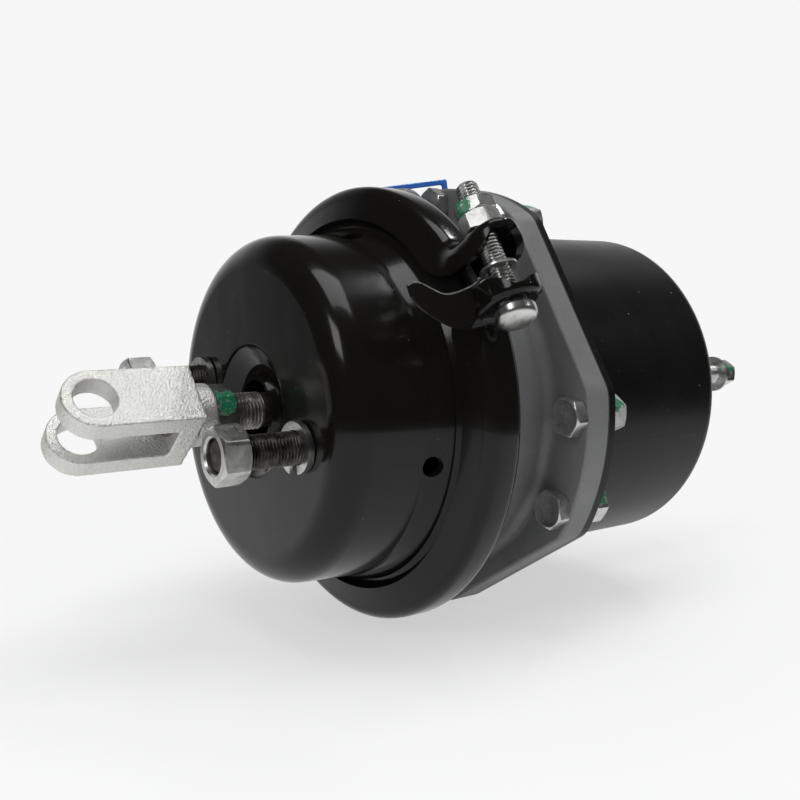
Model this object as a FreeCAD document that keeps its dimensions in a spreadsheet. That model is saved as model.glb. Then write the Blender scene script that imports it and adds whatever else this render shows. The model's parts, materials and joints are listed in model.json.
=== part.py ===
import FreeCAD, Part
import math
import os
import Sketcher

# Spring brake chamber: a diaphragm service chamber and a parking spring cylinder on one axis.
# Row frame: origin at the centre of the mounting face, +X is the push rod's outward stroke, +Z up.
# Lengths are millimetres, angles are degrees from +Y towards +Z about the axis.

V = FreeCAD.Vector
doc = FreeCAD.newDocument("BrakeChamber")

# Driving sizes, one per line
SIZES = dict(
    stud_clock=-13.4,          # clock angle of the stud line, the lobes and the drain holes
    stroke=57.0,               # travel of the push rod, the parking piston and the release bolt
    # service pot, a deep drawn steel cup
    sheet_wall=3.0,            # wall of the pot and of the spring housing
    pot_depth=50.0,            # mounting face to the back of the lip
    pot_radius=64.2,           # outer radius behind the front corner
    pot_mouth_radius=65.6,     # outer radius where the wall starts to flare
    pot_corner=11.5,           # outer radius of the front corner
    flare_start=33.0,          # mounting face to the start of the flare
    lip_height=13.9,           # lip's edge above the pot's mouth
    lip_taper=8.0,             # height of the lip's tapered part
    lip_edge=3.0,              # width of a lip at its outer edge
    lip_root=5.8,              # width of a lip at its root
    dish_radius=24.4,          # radius of the ridge round the pressed dish
    dish_floor_radius=17.0,    # outer radius of the dish's floor
    dish_depth=5.0,
    rod_hole_radius=11.2,      # hole that the push rod passes
    rod_hole_lip=2.0,          # rim round that hole, below the mounting face
    rod_hole_rim=1.6,          # width of that rim
    drain_offset=35.0,         # mounting face to the drain holes
    drain_radius=3.7,
    drain_count=4,
    # mounting studs with nuts and spring washers
    stud_spacing=76.2,         # stud to stud across the axis
    stud_radius=5.9,
    stud_length=31.8,          # mounting face to the stud's end
    stud_head_radius=9.5,
    stud_head_height=4.0,
    stud_nut_width=18.0,       # across flats
    stud_nut_height=10.0,
    stud_nut_offset=23.5,      # mounting face to the nut's seat
    spring_washer_radius=9.05,
    spring_washer_wire=2.4,
    spring_washer_rise=1.9,    # step between the split ends
    # push rod, plate, lock nut and clevis
    rod_radius=6.5,            # rolled shank
    thread_radius=6.95,
    thread_start=-3.0,
    rod_end=35.0,
    rod_foot_radius=10.0,
    rod_foot_height=4.0,
    plate_radius=45.0,
    plate_thickness=3.0,
    plate_rim=5.0,             # height of the plate's turned rim
    plate_stop=10.0,           # mounting face to the plate at full stroke
    lock_nut_offset=6.0,
    lock_nut_height=8.0,
    lock_nut_width=19.0,
    clevis_clock=40.8,         # clock angle of the clevis pin
    clevis_neck_radius=11.3,
    clevis_neck_length=12.0,
    clevis_pin_offset=62.0,    # mounting face to the clevis pin
    clevis_hole_radius=7.3,
    clevis_width=24.0,         # height of an ear, also twice its end radius
    clevis_gap=14.0,
    clevis_ear=8.0,            # thickness of an ear
    clevis_root=7.5,           # shoulder to the bottom of the fork
    clevis_chamfer=4.5,
    clevis_edge=1.4,           # rounding along the ears
    # clamp band with its bolt
    clamp_clock=29.4,          # clock angle where the clamp bolt is tangent
    clamp_thickness=2.6,
    clamp_room=2.5,            # lip's edge to the inside of the band
    clamp_skirt=0.5,           # band's edge above the root of the lips
    clamp_corner=4.5,
    clamp_bolt_height=9.9,     # clamp bolt's axis above the band
    clamp_valley=8.0,          # hollow rounding where the band turns up into its upper ear
    clamp_low_valley=3.3,      # the same at the lower ear, beside the bolt's head
    valley_half_width=5.4,
    valley_sink=1.2,           # valley's metal inside the band and the ear
    clamp_bolt_radius=3.9,
    clamp_bolt_tip=37.8,
    clamp_bolt_head=5.0,
    clamp_head_radius=7.3,
    ear_low=-7.7,              # outer face of the lower ear, along the bolt
    ear_high=24.9,             # outer face of the upper ear, along the bolt
    ear_height=12.6,
    ear_end_radius=10.0,
    ear_wall=2.5,
    small_nut_width=13.0,      # across flats, clamp and flange bolts
    clamp_nut_height=6.5,
    clamp_lock_height=4.0,
    # tag on the clamp bolt
    tag_thickness=0.8,
    tag_drop=12.5,             # height of the hanging face
    tag_reach=33.0,            # clamp bolt to the tag's tip
    tag_seat=0.3,              # tab above the lower ear's rim
    tag_dip=2.6,               # hollow of the tag's top edge
    # cast middle body
    casting_gap=3.0,           # diaphragm bead between the lips
    cavity_depth=20.6,         # casting's lip to the floor of the service cavity
    cavity_room=5.6,           # push plate's rim to the wall of the floor
    casting_web=9.4,
    hub_inset=1.0,             # casting's waist inside the housing's outer radius
    hub_length=34.7,           # casting's lip to the front of the bolted flange
    flange_thickness=10.0,
    flange_width=19.0,         # lobes outside the housing
    flange_cut=8.5,            # straight sides inside the lobes' radius
    flange_corner=12.0,        # rounding where side meets lobe
    flange_fillet=4.0,
    flange_edge=1.2,
    bolt_inset=7.0,            # bolt circle inside the lobes' radius
    bolt_half_angle=13.0,      # bolts either side of each lobe's middle
    lobe_count=4,
    bolt_radius=3.9,
    bolt_head_height=5.3,
    bolt_nut_height=6.5,
    bolt_end=2.6,              # thread past the nut
    gasket_thickness=0.6,
    spigot_length=5.3,
    spigot_clearance=0.1,
    bore_radius=15.5,          # bore for the thrust tube's bush
    bush_length=13.0,
    # ports
    port_setback=18.9,         # casting's lip to the ports
    port_radius=10.2,
    port_bore_radius=6.2,
    port_bore_depth=13.0,
    port_rise=9.5,             # upper port above the casting's waist
    port_mouth=-20.0,          # upper port's open end along Y
    port_inner=2.0,
    port_length=34.0,          # length of the lower boss
    lower_port_height=17.8,
    lower_port_reach=2.0,      # lower port's open end past the lobes
    plug_flange_radius=11.3,
    plug_flange_thickness=1.6,
    plug_stem=9.0,
    plug_loop_length=27.0,
    plug_loop_height=9.0,
    # spring housing
    housing_radius=67.0,
    spring_room=17.9,          # room for the power spring when it is caged
    housing_corner=6.5,
    boss_radius=13.0,
    boss_length=8.0,
    breather_offset=42.0,
    breather_radius=7.0,
    # parking piston, thrust tube and seals
    piston_gap=0.6,            # piston to the spigot at full stroke
    hub_gap=1.2,               # piston to the hub of the bush at full stroke
    piston_clearance=0.4,
    piston_web=4.0,
    piston_skirt=18.0,
    piston_skirt_wall=4.6,
    groove_depth=2.2,
    seal_width=4.0,
    ring_width=3.0,
    tube_radius=13.0,
    tube_wall=2.5,
    running_clearance=0.05,
    thrust_plate_radius=20.0,
    thrust_plate_thickness=5.0,
    release_spare=20.0,        # thread still outside when the bolt is wound in
    release_radius=4.9,
    release_hook_radius=9.4,
    release_hook_height=5.0,
    release_flange_radius=9.0,
    release_flange_thickness=2.0,
    release_hex_width=12.0,
    release_hex_height=9.0,
    release_pin_radius=2.0,
    # springs
    return_wire=3.4,
    return_turns=3.5,
    return_small_radius=24.0,
    return_large_radius=52.0,
    power_wire=7.6,
    power_turns=3.0,
    power_small_radius=25.0,
    power_large_radius=52.0,
    bead_radius=78.8,
    membrane=3.0,
)

sheet = doc.addObject("Spreadsheet::Sheet", "Sizes")
for row, name in enumerate(SIZES, start=1):
    sheet.set("A%d" % row, name)
    sheet.set("B%d" % row, str(SIZES[name]))
    sheet.setAlias("B%d" % row, name)
doc.recompute()


class Dim:
    # A size with its value and the sheet expression that it comes from
    def __init__(self, value, text):
        self.value = float(value)
        self.text = text

    def __add__(self, other):
        other = dim(other)
        return Dim(self.value + other.value, "(%s + %s)" % (self.text, other.text))

    def __sub__(self, other):
        other = dim(other)
        return Dim(self.value - other.value, "(%s - %s)" % (self.text, other.text))

    def __mul__(self, other):
        other = dim(other)
        return Dim(self.value * other.value, "(%s * %s)" % (self.text, other.text))

    def __truediv__(self, other):
        other = dim(other)
        return Dim(self.value / other.value, "(%s / %s)" % (self.text, other.text))

    def __radd__(self, other):
        return dim(other) + self

    def __rsub__(self, other):
        return dim(other) - self

    def __rmul__(self, other):
        return dim(other) * self

    def __neg__(self):
        return dim(0) - self


def dim(value):
    return value if isinstance(value, Dim) else Dim(value, "(%r)" % float(value))


class Sheet:
    # Each attribute is one driving size, read back from the sheet
    def __getattr__(self, name):
        return Dim(sheet.get(name), "Sizes." + name)


s = Sheet()
# sizes that follow from the driving ones; distances along the axis are from the mounting face
s.lip_radius = s.pot_mouth_radius + s.lip_height
s.lip_root_radius = s.lip_radius - s.lip_taper
s.clamp_radius = s.lip_radius + s.clamp_room + s.clamp_thickness
s.clamp_inner_radius = s.lip_root_radius + s.clamp_skirt
s.clamp_bolt_offset = s.clamp_radius + s.clamp_bolt_height
s.casting_front = s.pot_depth + s.casting_gap
s.casting_floor = s.casting_front + s.cavity_depth
s.cavity_floor_radius = s.plate_radius + s.cavity_room
s.port_offset = s.casting_front + s.port_setback
s.flange_front = s.casting_front + s.hub_length
s.flange_radius = s.housing_radius + s.flange_width
s.flange_side = s.flange_radius - s.flange_cut
s.bolt_circle_radius = s.flange_radius - s.bolt_inset
s.casting_hub_radius = s.housing_radius - s.hub_inset
s.port_height = s.casting_hub_radius + s.port_rise
s.lower_port_mouth = -(s.flange_radius + s.lower_port_reach)
s.piston_travel_stop = s.flange_front + s.flange_thickness + s.gasket_thickness + s.spigot_length + s.piston_gap
s.housing_end = s.piston_travel_stop + s.stroke + s.piston_web + s.spring_room + s.sheet_wall
subparts = []


def subpart(obj, label):
    obj.Label = label
    subparts.append(obj)
    return obj


def turned(obj, clock):
    # Turns an object about the chamber's axis
    obj.Placement = FreeCAD.Placement(V(0, 0, 0), FreeCAD.Rotation(V(1, 0, 0), clock))
    return obj


def bind(obj, **sizes):
    for name, size in sizes.items():
        obj.setExpression(name, dim(size).text)
    return obj


def plane(body, role):
    return [f for f in body.Origin.OriginFeatures if f.Role == role][0]


def sketch_on(body, role, name):
    sketch = body.newObject("Sketcher::SketchObject", name)
    sketch.AttachmentSupport = [(plane(body, role), "")]
    sketch.MapMode = "FlatFace"
    return sketch


def hold(sketch, kind, geo, point, size, axis):
    # Ties one coordinate of a point to the sheet, or to the axis where it is zero
    if abs(size.value) < 1e-9:
        sketch.addConstraint(Sketcher.Constraint("PointOnObject", geo, point, axis))
    else:
        index = sketch.addConstraint(Sketcher.Constraint(kind, -1, 1, geo, point, size.value))
        sketch.setExpression("Constraints[%d]" % index, size.text)


def outline(body, name, points, role="XY_Plane"):
    # A closed outline whose corners are all tied to the sheet
    sketch = sketch_on(body, role, name)
    points = [(dim(a), dim(b)) for a, b in points]
    count = len(points)
    for i in range(count):
        (x0, y0), (x1, y1) = points[i], points[(i + 1) % count]
        sketch.addGeometry(Part.LineSegment(V(x0.value, y0.value, 0), V(x1.value, y1.value, 0)), False)
    for i in range(count):
        sketch.addConstraint(Sketcher.Constraint("Coincident", i, 2, (i + 1) % count, 1))
    for i, (x, y) in enumerate(points):
        hold(sketch, "DistanceX", i, 1, x, -2)
        hold(sketch, "DistanceY", i, 1, y, -1)
    return sketch


def ring_edges(shape, x, radius):
    # Names of the circular edges about the axis at one place
    names = []
    for i, edge in enumerate(shape.Edges, start=1):
        curve = edge.Curve
        if curve.TypeId == "Part::GeomCircle" and abs(curve.Radius - radius.value) < 1e-4:
            if abs(curve.Center.x - x.value) < 1e-4 and abs(curve.Center.y) + abs(curve.Center.z) < 1e-4:
                names.append("Edge%d" % i)
    return names


def rounded(body, tag, corners, size):
    # Rounds the circular edges at the given corners of a turned body
    names = []
    for x, radius in corners:
        names += ring_edges(body.Tip.Shape, dim(x), dim(radius))
    fillet = body.newObject("PartDesign::Fillet", tag)
    fillet.Base = (body.Tip if body.Tip != fillet else fillet.BaseFeature, names)
    fillet.Radius = dim(size).value
    bind(fillet, Radius=size)
    body.Tip = fillet
    doc.recompute()
    return fillet


def turned_body(name, points):
    # A body of revolution about the chamber's axis
    body = doc.addObject("PartDesign::Body", name)
    sketch = outline(body, name + "_outline", points)
    turn = body.newObject("PartDesign::Revolution", name + "_turn")
    turn.Profile = sketch
    turn.ReferenceAxis = (sketch, ["H_Axis"])
    turn.Angle = 360
    doc.recompute()
    return body


def drilled(body, tag, centre, radius, count):
    # Holes along the axis on one circle, the first on the body's own +Y
    sketch = sketch_on(body, "YZ_Plane", tag + "_circle")
    sketch.addGeometry(Part.Circle(V(dim(centre).value, 0, 0), V(0, 0, 1), dim(radius).value), False)
    sketch.addConstraint(Sketcher.Constraint("PointOnObject", 0, 3, -1))
    hold(sketch, "DistanceX", 0, 3, dim(centre), -2)
    index = sketch.addConstraint(Sketcher.Constraint("Radius", 0, dim(radius).value))
    sketch.setExpression("Constraints[%d]" % index, dim(radius).text)
    before = body.Shape.Volume
    pocket = body.newObject("PartDesign::Pocket", tag)
    pocket.Profile = sketch
    pocket.Type = "ThroughAll"
    pocket.SideType = "Symmetric"
    doc.recompute()
    pattern = body.newObject("PartDesign::PolarPattern", tag + "_pattern")
    pattern.Originals = [pocket]
    pattern.Axis = (sketch, ["N_Axis"])
    pattern.Angle = 360
    pattern.Occurrences = int(count)
    body.Tip = pattern
    doc.recompute()
    if body.Shape.Volume > before - 1:
        raise ValueError(tag + " cuts nothing")


def rod(name, x, radius, length, direction=V(1, 0, 0), y=0, z=0):
    # A plain cylinder from a start point along a direction
    cylinder = doc.addObject("Part::Cylinder", name)
    bind(cylinder, Radius=radius, Height=length)
    turn = FreeCAD.Rotation(V(0, 0, 1), direction)
    cylinder.Placement = FreeCAD.Placement(V(dim(x).value, dim(y).value, dim(z).value), turn)
    return cylinder


def block(name, corner, spans):
    box = doc.addObject("Part::Box", name)
    bind(box, Length=spans[0], Width=spans[1], Height=spans[2])
    for axis, size in zip("xyz", corner):
        box.setExpression("Placement.Base." + axis, dim(size).text)
    return box


def joined(name, pieces):
    fuse = doc.addObject("Part::MultiFuse", name)
    fuse.Shapes = pieces
    fuse.Refine = True
    doc.recompute()
    return fuse


def cut(name, base, tool):
    result = doc.addObject("Part::Cut", name)
    result.Base = base
    result.Tool = tool
    doc.recompute()
    return result


def common(name, base, tool):
    result = doc.addObject("Part::Common", name)
    result.Base = base
    result.Tool = tool
    doc.recompute()
    return result


def fixed(name, shape, placement=None):
    # A shape made by functions, placed after it is set
    feature = doc.addObject("Part::Feature", name)
    feature.Shape = shape
    if placement:
        feature.Placement = placement
    return feature


def polar(radius, clock, x=0.0):
    a = math.radians(clock)
    return V(x, radius * math.cos(a), radius * math.sin(a))


def group(name, master, places):
    # Separate copies of one solid, kept in one node
    copies = []
    for place in places:
        copy = master.copy()
        copy.Placement = place.multiply(master.Placement)
        copies.append(copy)
    return subpart(fixed(name, Part.makeCompound(copies)), name)


def along_x(point, spin=0.0):
    return FreeCAD.Placement(point, FreeCAD.Rotation(V(1, 0, 0), spin))


def hexagon(x, width, height, bore, chamfered=True):
    # Hexagonal prism about +X with both ends turned down to the corners' circle
    flat = width / 2
    corner = flat / math.cos(math.radians(30))
    points = [polar(corner, 30 + 60 * i, x) for i in range(7)]
    prism = Part.Face(Part.makePolygon(points)).extrude(V(height, 0, 0))
    if chamfered:
        fall = (corner - flat) * 0.62
        profile = [V(x, 0, 0), V(x, flat, 0), V(x + fall, corner + 0.02, 0),
                   V(x + height - fall, corner + 0.02, 0), V(x + height, flat, 0), V(x + height, 0, 0)]
        prism = prism.common(turned_shape(profile))
    if bore:
        prism = prism.cut(Part.makeCylinder(bore, height, V(x, 0, 0), V(1, 0, 0)))
    return prism


def turned_shape(profile):
    return Part.Face(Part.makePolygon(profile + profile[:1])).revolve(V(0, 0, 0), V(1, 0, 0), 360)


STUDS = [s.stud_clock.value, s.stud_clock.value + 180]


# Service pot: deep drawn cup with a dished front, a flared mouth and a tapered lip
def make_service_pot():
    wall = s.sheet_wall
    lip_back = -s.pot_depth
    inner = s.pot_radius - wall
    hole = s.rod_hole_radius
    slope_inner = s.dish_radius + wall * 0.6
    points = [
        (-s.rod_hole_lip, hole),
        (-s.rod_hole_lip, hole + s.rod_hole_rim),
        (-s.dish_depth, hole + s.rod_hole_rim * 2),
        (-s.dish_depth, s.dish_floor_radius),
        (0, s.dish_radius),
        (0, s.pot_radius),
        (-s.flare_start, s.pot_mouth_radius),
        (lip_back + s.lip_root + 2.2, s.lip_root_radius - wall),
        (lip_back + s.lip_root, s.lip_root_radius),
        (lip_back + s.lip_edge, s.lip_radius),
        (lip_back, s.lip_radius),
        (lip_back, s.lip_root_radius - wall),
        (lip_back + s.lip_root - 1, s.lip_root_radius - wall * 1.6),
        (-s.flare_start - 1.2, s.pot_mouth_radius - wall),
        (-wall, inner),
        (-wall, slope_inner),
        (-s.dish_depth - wall, s.dish_floor_radius + wall * 0.6),
        (-s.dish_depth - wall, hole),
    ]
    body = turned_body("pot_shell", points)
    rounded(body, "pot_front_corner", [(0, s.pot_radius)], s.pot_corner)
    rounded(body, "pot_inner_corner", [(-wall, inner)], s.pot_corner - wall)
    rounded(body, "pot_ridge", [(0, s.dish_radius)], 2.4)
    rounded(body, "pot_flare", [(-s.flare_start, s.pot_mouth_radius)], 6.0)
    drilled(body, "pot_stud_holes", s.stud_spacing / 2, s.stud_radius + 0.1, 2)
    drains = []
    count = int(s.drain_count.value)
    for i in range(count):
        direction = polar(1, i * 360.0 / count)
        drains.append(rod("pot_drain_%d" % i, -s.drain_offset, s.drain_radius, s.pot_mouth_radius + 5, direction))
    result = cut("service_pot_drilled", body, joined("pot_drains", drains))
    return subpart(turned(result, s.stud_clock.value), "service_pot")


# Mounting studs, pressed through the pot's front from inside
def make_mounting_studs():
    head_x = -(s.sheet_wall + s.stud_head_height).value
    radius = s.stud_radius.value
    end = s.stud_length.value
    profile = [V(head_x, 0, 0), V(head_x, s.stud_head_radius.value, 0),
               V(-s.sheet_wall.value, s.stud_head_radius.value, 0), V(-s.sheet_wall.value, radius, 0),
               V(end - 1.2, radius, 0), V(end, radius - 1.2, 0), V(end, 0, 0)]
    master = turned_shape(profile)
    places = [along_x(polar(s.stud_spacing.value / 2, clock)) for clock in STUDS]
    group("mounting_studs", master, places)


def make_stud_nuts():
    master = hexagon(s.stud_nut_offset.value, s.stud_nut_width.value, s.stud_nut_height.value,
                     s.stud_radius.value + s.running_clearance.value)
    places = [along_x(polar(s.stud_spacing.value / 2, clock), spin) for clock, spin in zip(STUDS, (3, -8))]
    group("stud_nuts", master, places)


# Split spring washers, one turn of a helix with its ends apart
def make_stud_washers():
    wire = s.spring_washer_wire.value
    outer = s.spring_washer_radius.value
    inner = s.stud_radius.value + 0.25
    rise = s.spring_washer_rise.value
    middle = (inner + outer) / 2
    helix = Part.makeHelix(rise / 0.965, rise, middle)
    half = (outer - inner) / 2
    corners = [V(middle - half, 0, -wire / 2), V(middle + half, 0, -wire / 2),
               V(middle + half, 0, wire / 2), V(middle - half, 0, wire / 2)]
    section = Part.makePolygon(corners + corners[:1])
    coil = Part.Wire(helix.Edges).makePipeShell([section], True, True)
    coil.Placement = FreeCAD.Placement(V(wire / 2 + 0.05, 0, 0), FreeCAD.Rotation(V(0, 0, 1), V(1, 0, 0)))
    places = [along_x(polar(s.stud_spacing.value / 2, clock), spin) for clock, spin in zip(STUDS, (5, 38))]
    group("stud_spring_washers", coil, places)


# Push rod with its foot, and the plate it is riveted to
def make_push_rod():
    back = -(s.plate_stop + s.stroke)
    points = [
        (back, 0), (back, s.rod_foot_radius), (back + s.rod_foot_height, s.rod_foot_radius),
        (back + s.rod_foot_height + 4, s.rod_radius), (s.thread_start, s.rod_radius),
        (s.thread_start + 0.6, s.thread_radius), (s.rod_end - 1.2, s.thread_radius),
        (s.rod_end, s.thread_radius - 1.2), (s.rod_end, 0),
    ]
    subpart(turned_body("push_rod", points), "push_rod")


def make_push_plate():
    face = -(s.plate_stop + s.stroke)
    back = face - s.plate_thickness
    points = [
        (back, 0), (back, s.plate_radius - 3), (back + 3, s.plate_radius),
        (back + s.plate_rim, s.plate_radius), (back + s.plate_rim, s.plate_radius - s.plate_thickness + 0.6),
        (face + 1.2, s.plate_radius - s.plate_thickness - 0.6), (face, s.plate_radius - s.plate_thickness - 2), (face, 0),
    ]
    subpart(turned_body("push_plate", points), "push_plate")


def make_lock_nut():
    nut = hexagon(s.lock_nut_offset.value, s.lock_nut_width.value, s.lock_nut_height.value,
                  s.thread_radius.value + s.running_clearance.value)
    subpart(fixed("clevis_lock_nut", nut, along_x(V(0, 0, 0), 12)), "clevis_lock_nut")


# Forged clevis: round neck, chamfered shoulder and two round-ended ears
def make_clevis():
    neck_x = s.lock_nut_offset + s.lock_nut_height
    shoulder = neck_x + s.clevis_neck_length
    half_width = s.clevis_width / 2
    half_thick = s.clevis_gap / 2 + s.clevis_ear
    body = doc.addObject("PartDesign::Body", "clevis_ears")
    chamfer = s.clevis_chamfer
    side = [(shoulder, -(half_thick - chamfer)), (shoulder + chamfer * 1.5, -half_thick),
            (s.clevis_pin_offset + half_width, -half_thick), (s.clevis_pin_offset + half_width, half_thick),
            (shoulder + chamfer * 1.5, half_thick), (shoulder, half_thick - chamfer)]
    sketch = outline(body, "clevis_side", side)
    pad = body.newObject("PartDesign::Pad", "clevis_pad")
    pad.Profile = sketch
    pad.SideType = "Symmetric"
    pad.Length = s.clevis_width.value
    bind(pad, Length=s.clevis_width)
    doc.recompute()
    # round ear ends: what lies past the pin and outside the end radius comes off
    eye = rod("clevis_eye", s.clevis_pin_offset, half_width, half_thick * 2 + 2, V(0, 1, 0), -(half_thick + 1))
    shank = block("clevis_shank", (shoulder - 1, -(half_thick + 1), -half_width),
                  (s.clevis_pin_offset - shoulder + 1, half_thick * 2 + 2, s.clevis_width))
    profile = joined("clevis_profile", [eye, shank])
    ears = common("clevis_round_ears", body, profile)
    rounding = s.clevis_edge.value
    edges = []
    for i, edge in enumerate(ears.Shape.Edges, start=1):
        box = edge.BoundBox
        outer = abs(abs(box.YMin) - half_thick.value) < 1e-4 and box.YLength < 1e-4
        if outer and box.XLength > 0.01:
            edges.append((i, rounding, rounding))
    soft = doc.addObject("Part::Fillet", "clevis_soft")
    soft.Base = ears
    soft.Edges = edges
    doc.recompute()
    neck = rod("clevis_neck", neck_x, s.clevis_neck_radius, s.clevis_neck_length + 1.5)
    solid = joined("clevis_solid", [soft, neck])
    fork_x = shoulder + s.clevis_root
    fork = block("clevis_fork", (fork_x, -s.clevis_gap / 2, -s.clevis_width),
                 (s.clevis_pin_offset + s.clevis_width - fork_x, s.clevis_gap, s.clevis_width * 2))
    pin = rod("clevis_pin_hole", s.clevis_pin_offset, s.clevis_hole_radius, half_thick * 2 + 4, V(0, 1, 0),
              -(half_thick + 2))
    thread = rod("clevis_thread", neck_x - 1, s.thread_radius + s.running_clearance, fork_x - neck_x + 2)
    result = cut("clevis", solid, joined("clevis_cuts", [fork, pin, thread]))
    return subpart(turned(result, s.clevis_clock.value), "clevis")


# Helical springs, drawn along cones so that their coils nest
def coil_spring(name, start, end, radius_start, radius_end, wire, turns):
    # A conical helix is measured along its slant
    length = abs(end - start) - wire
    slant = math.hypot(length, radius_end - radius_start)
    angle = math.degrees(math.atan2(radius_end - radius_start, length))
    helix = Part.makeHelix(slant / turns, slant, radius_start, angle)
    first = helix.Edges[0]
    point = first.valueAt(first.FirstParameter)
    tangent = first.tangentAt(first.FirstParameter)
    section = Part.Wire(Part.makeCircle(wire / 2, point, tangent))
    solid = Part.Wire(helix.Edges).makePipeShell([section], True, True)
    sign = 1 if end > start else -1
    turn = FreeCAD.Rotation(V(0, 0, 1), V(sign, 0, 0))
    place = FreeCAD.Placement(V(start + sign * wire / 2, 0, 0), turn)
    return subpart(fixed(name, solid, place), name)


def make_springs():
    plate_face = -(s.plate_stop + s.stroke).value
    coil_spring("return_spring", plate_face + 0.3, -s.sheet_wall.value - 0.3, s.return_small_radius.value,
                s.return_large_radius.value, s.return_wire.value, s.return_turns.value)
    web_back = -(s.piston_travel_stop + s.stroke + s.piston_web).value
    end_wall = -(s.housing_end - s.sheet_wall).value
    coil_spring("power_spring", web_back - 0.3, end_wall + 0.3, s.power_small_radius.value,
                s.power_large_radius.value, s.power_wire.value, s.power_turns.value)


# Rubber diaphragm, lying back in the casting's cavity with its bead between the lips
def make_diaphragm():
    bead_front = -s.pot_depth
    bead_back = bead_front - s.casting_gap
    floor = -s.casting_floor + 0.4
    face = floor + s.membrane
    mouth = s.lip_root_radius - s.sheet_wall
    points = [
        (bead_front, mouth - 2.5), (bead_front, s.bead_radius), (bead_back, s.bead_radius),
        (bead_back, mouth - 1.6), (bead_back - 9, mouth - 6.2), (floor, s.cavity_floor_radius - 0.6), (floor, 0),
        (face, 0), (face, s.cavity_floor_radius - s.membrane), (bead_front - 9, mouth - 9),
    ]
    subpart(turned_body("diaphragm", points), "diaphragm")


# Clamp band: a channel that draws the two lips together, with an ear at each end of the band
def clamp_section():
    middle = -(s.pot_depth + s.casting_gap / 2).value
    wall = s.clamp_thickness.value
    slope = (s.lip_root - s.lip_edge).value / (s.lip_radius - s.lip_root_radius).value
    half_root = (s.casting_gap / 2 + s.lip_root).value + 0.1
    low = s.clamp_inner_radius.value
    roof = s.clamp_radius.value - wall

    def flank(radius):
        return half_root - slope * (radius - s.lip_root_radius.value)

    top = flank(roof)
    return [V(middle - flank(low) - wall, low, 0), V(middle - top - wall, s.clamp_radius.value, 0),
            V(middle + top + wall, s.clamp_radius.value, 0), V(middle + flank(low) + wall, low, 0),
            V(middle + flank(low), low, 0), V(middle + top, roof, 0),
            V(middle - top, roof, 0), V(middle - flank(low), low, 0)]


def ear_outline(middle, near, grow):
    # Round-ended outline of an ear, seen along the clamp bolt
    radius = s.ear_end_radius.value + grow
    far = s.clamp_bolt_offset.value
    left = V(middle - radius, near, 0)
    right = V(middle + radius, near, 0)
    far_left = V(middle - radius, far, 0)
    far_right = V(middle + radius, far, 0)
    arc = Part.Arc(far_right, V(middle, far + radius, 0), far_left).toShape()
    wire = Part.Wire([Part.makeLine(left, right), Part.makeLine(right, far_right), arc, Part.makeLine(far_left, left)])
    return Part.Face(wire)


def make_clamp_ring():
    section = clamp_section()
    middle = (section[0].x + section[3].x) / 2
    low_end = math.degrees(math.asin(s.ear_low.value / s.clamp_radius.value))
    high_end = math.degrees(math.asin(s.ear_high.value / s.clamp_radius.value))
    face = Part.Face(Part.makePolygon(section + section[:1]))
    band = face.revolve(V(0, 0, 0), V(1, 0, 0), 360 - high_end + low_end)
    crests = []
    for edge in band.Edges:
        curve = edge.Curve
        if curve.TypeId == "Part::GeomCircle" and abs(curve.Radius - s.clamp_radius.value) < 1e-4:
            if abs(curve.Center.y) + abs(curve.Center.z) < 1e-4:
                crests.append(edge)
    band = band.makeFillet(s.clamp_corner.value, crests)
    band.Placement = FreeCAD.Placement(V(0, 0, 0), FreeCAD.Rotation(V(1, 0, 0), high_end))
    near = s.clamp_inner_radius.value + 4.0
    hollow_near = s.clamp_radius.value - 1.0
    height = s.ear_height.value
    wall = s.ear_wall.value
    pieces = [band]
    for outer_z, sign in ((s.ear_low.value, 1), (s.ear_high.value, -1)):
        shell = ear_outline(middle, near, 0).extrude(V(0, 0, sign * height))
        shell.translate(V(0, 0, outer_z))
        rim = [e for e in shell.Edges if abs(e.BoundBox.ZMin - outer_z) < 1e-6 and e.BoundBox.ZLength < 1e-6
               and e.BoundBox.YMax > near + 1]
        shell = shell.makeFillet(2.2, rim)
        hollow = ear_outline(middle, hollow_near, -wall).extrude(V(0, 0, sign * height))
        hollow.translate(V(0, 0, outer_z + sign * wall))
        bolt = Part.makeCylinder(s.clamp_bolt_radius.value + 0.4, 60, V(middle, s.clamp_bolt_offset.value, -20))
        keep_out = Part.makeCylinder(roof_radius(), 60, V(middle - 30, 0, 0), V(1, 0, 0))
        shell = shell.cut([hollow, bolt, keep_out, ear_trim(middle, outer_z, sign)])
        pieces += [shell, ear_valley(middle, outer_z, sign)]
    ring = pieces[0].fuse(pieces[1:]).removeSplitter()
    return subpart(turned(fixed("clamp_ring", ring), s.clamp_clock.value), "clamp_ring")


def ear_trim(middle, outer_z, sign):
    # What comes off the ear's front wall, which runs out towards the ear's end
    rim = outer_z + sign * (s.ear_height.value + 1)
    foot = outer_z + sign * (s.ear_wall.value + 0.4)
    far = s.clamp_bolt_offset.value + s.ear_end_radius.value
    x = middle + s.ear_end_radius.value * 0.3
    points = [V(x, s.clamp_radius.value - 1, rim), V(x, far + 1, rim), V(x, far + 1, foot),
              V(x, s.clamp_bolt_offset.value + 3, foot)]
    return Part.Face(Part.makePolygon(points + points[:1])).extrude(V(s.ear_end_radius.value, 0, 0))


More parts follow.
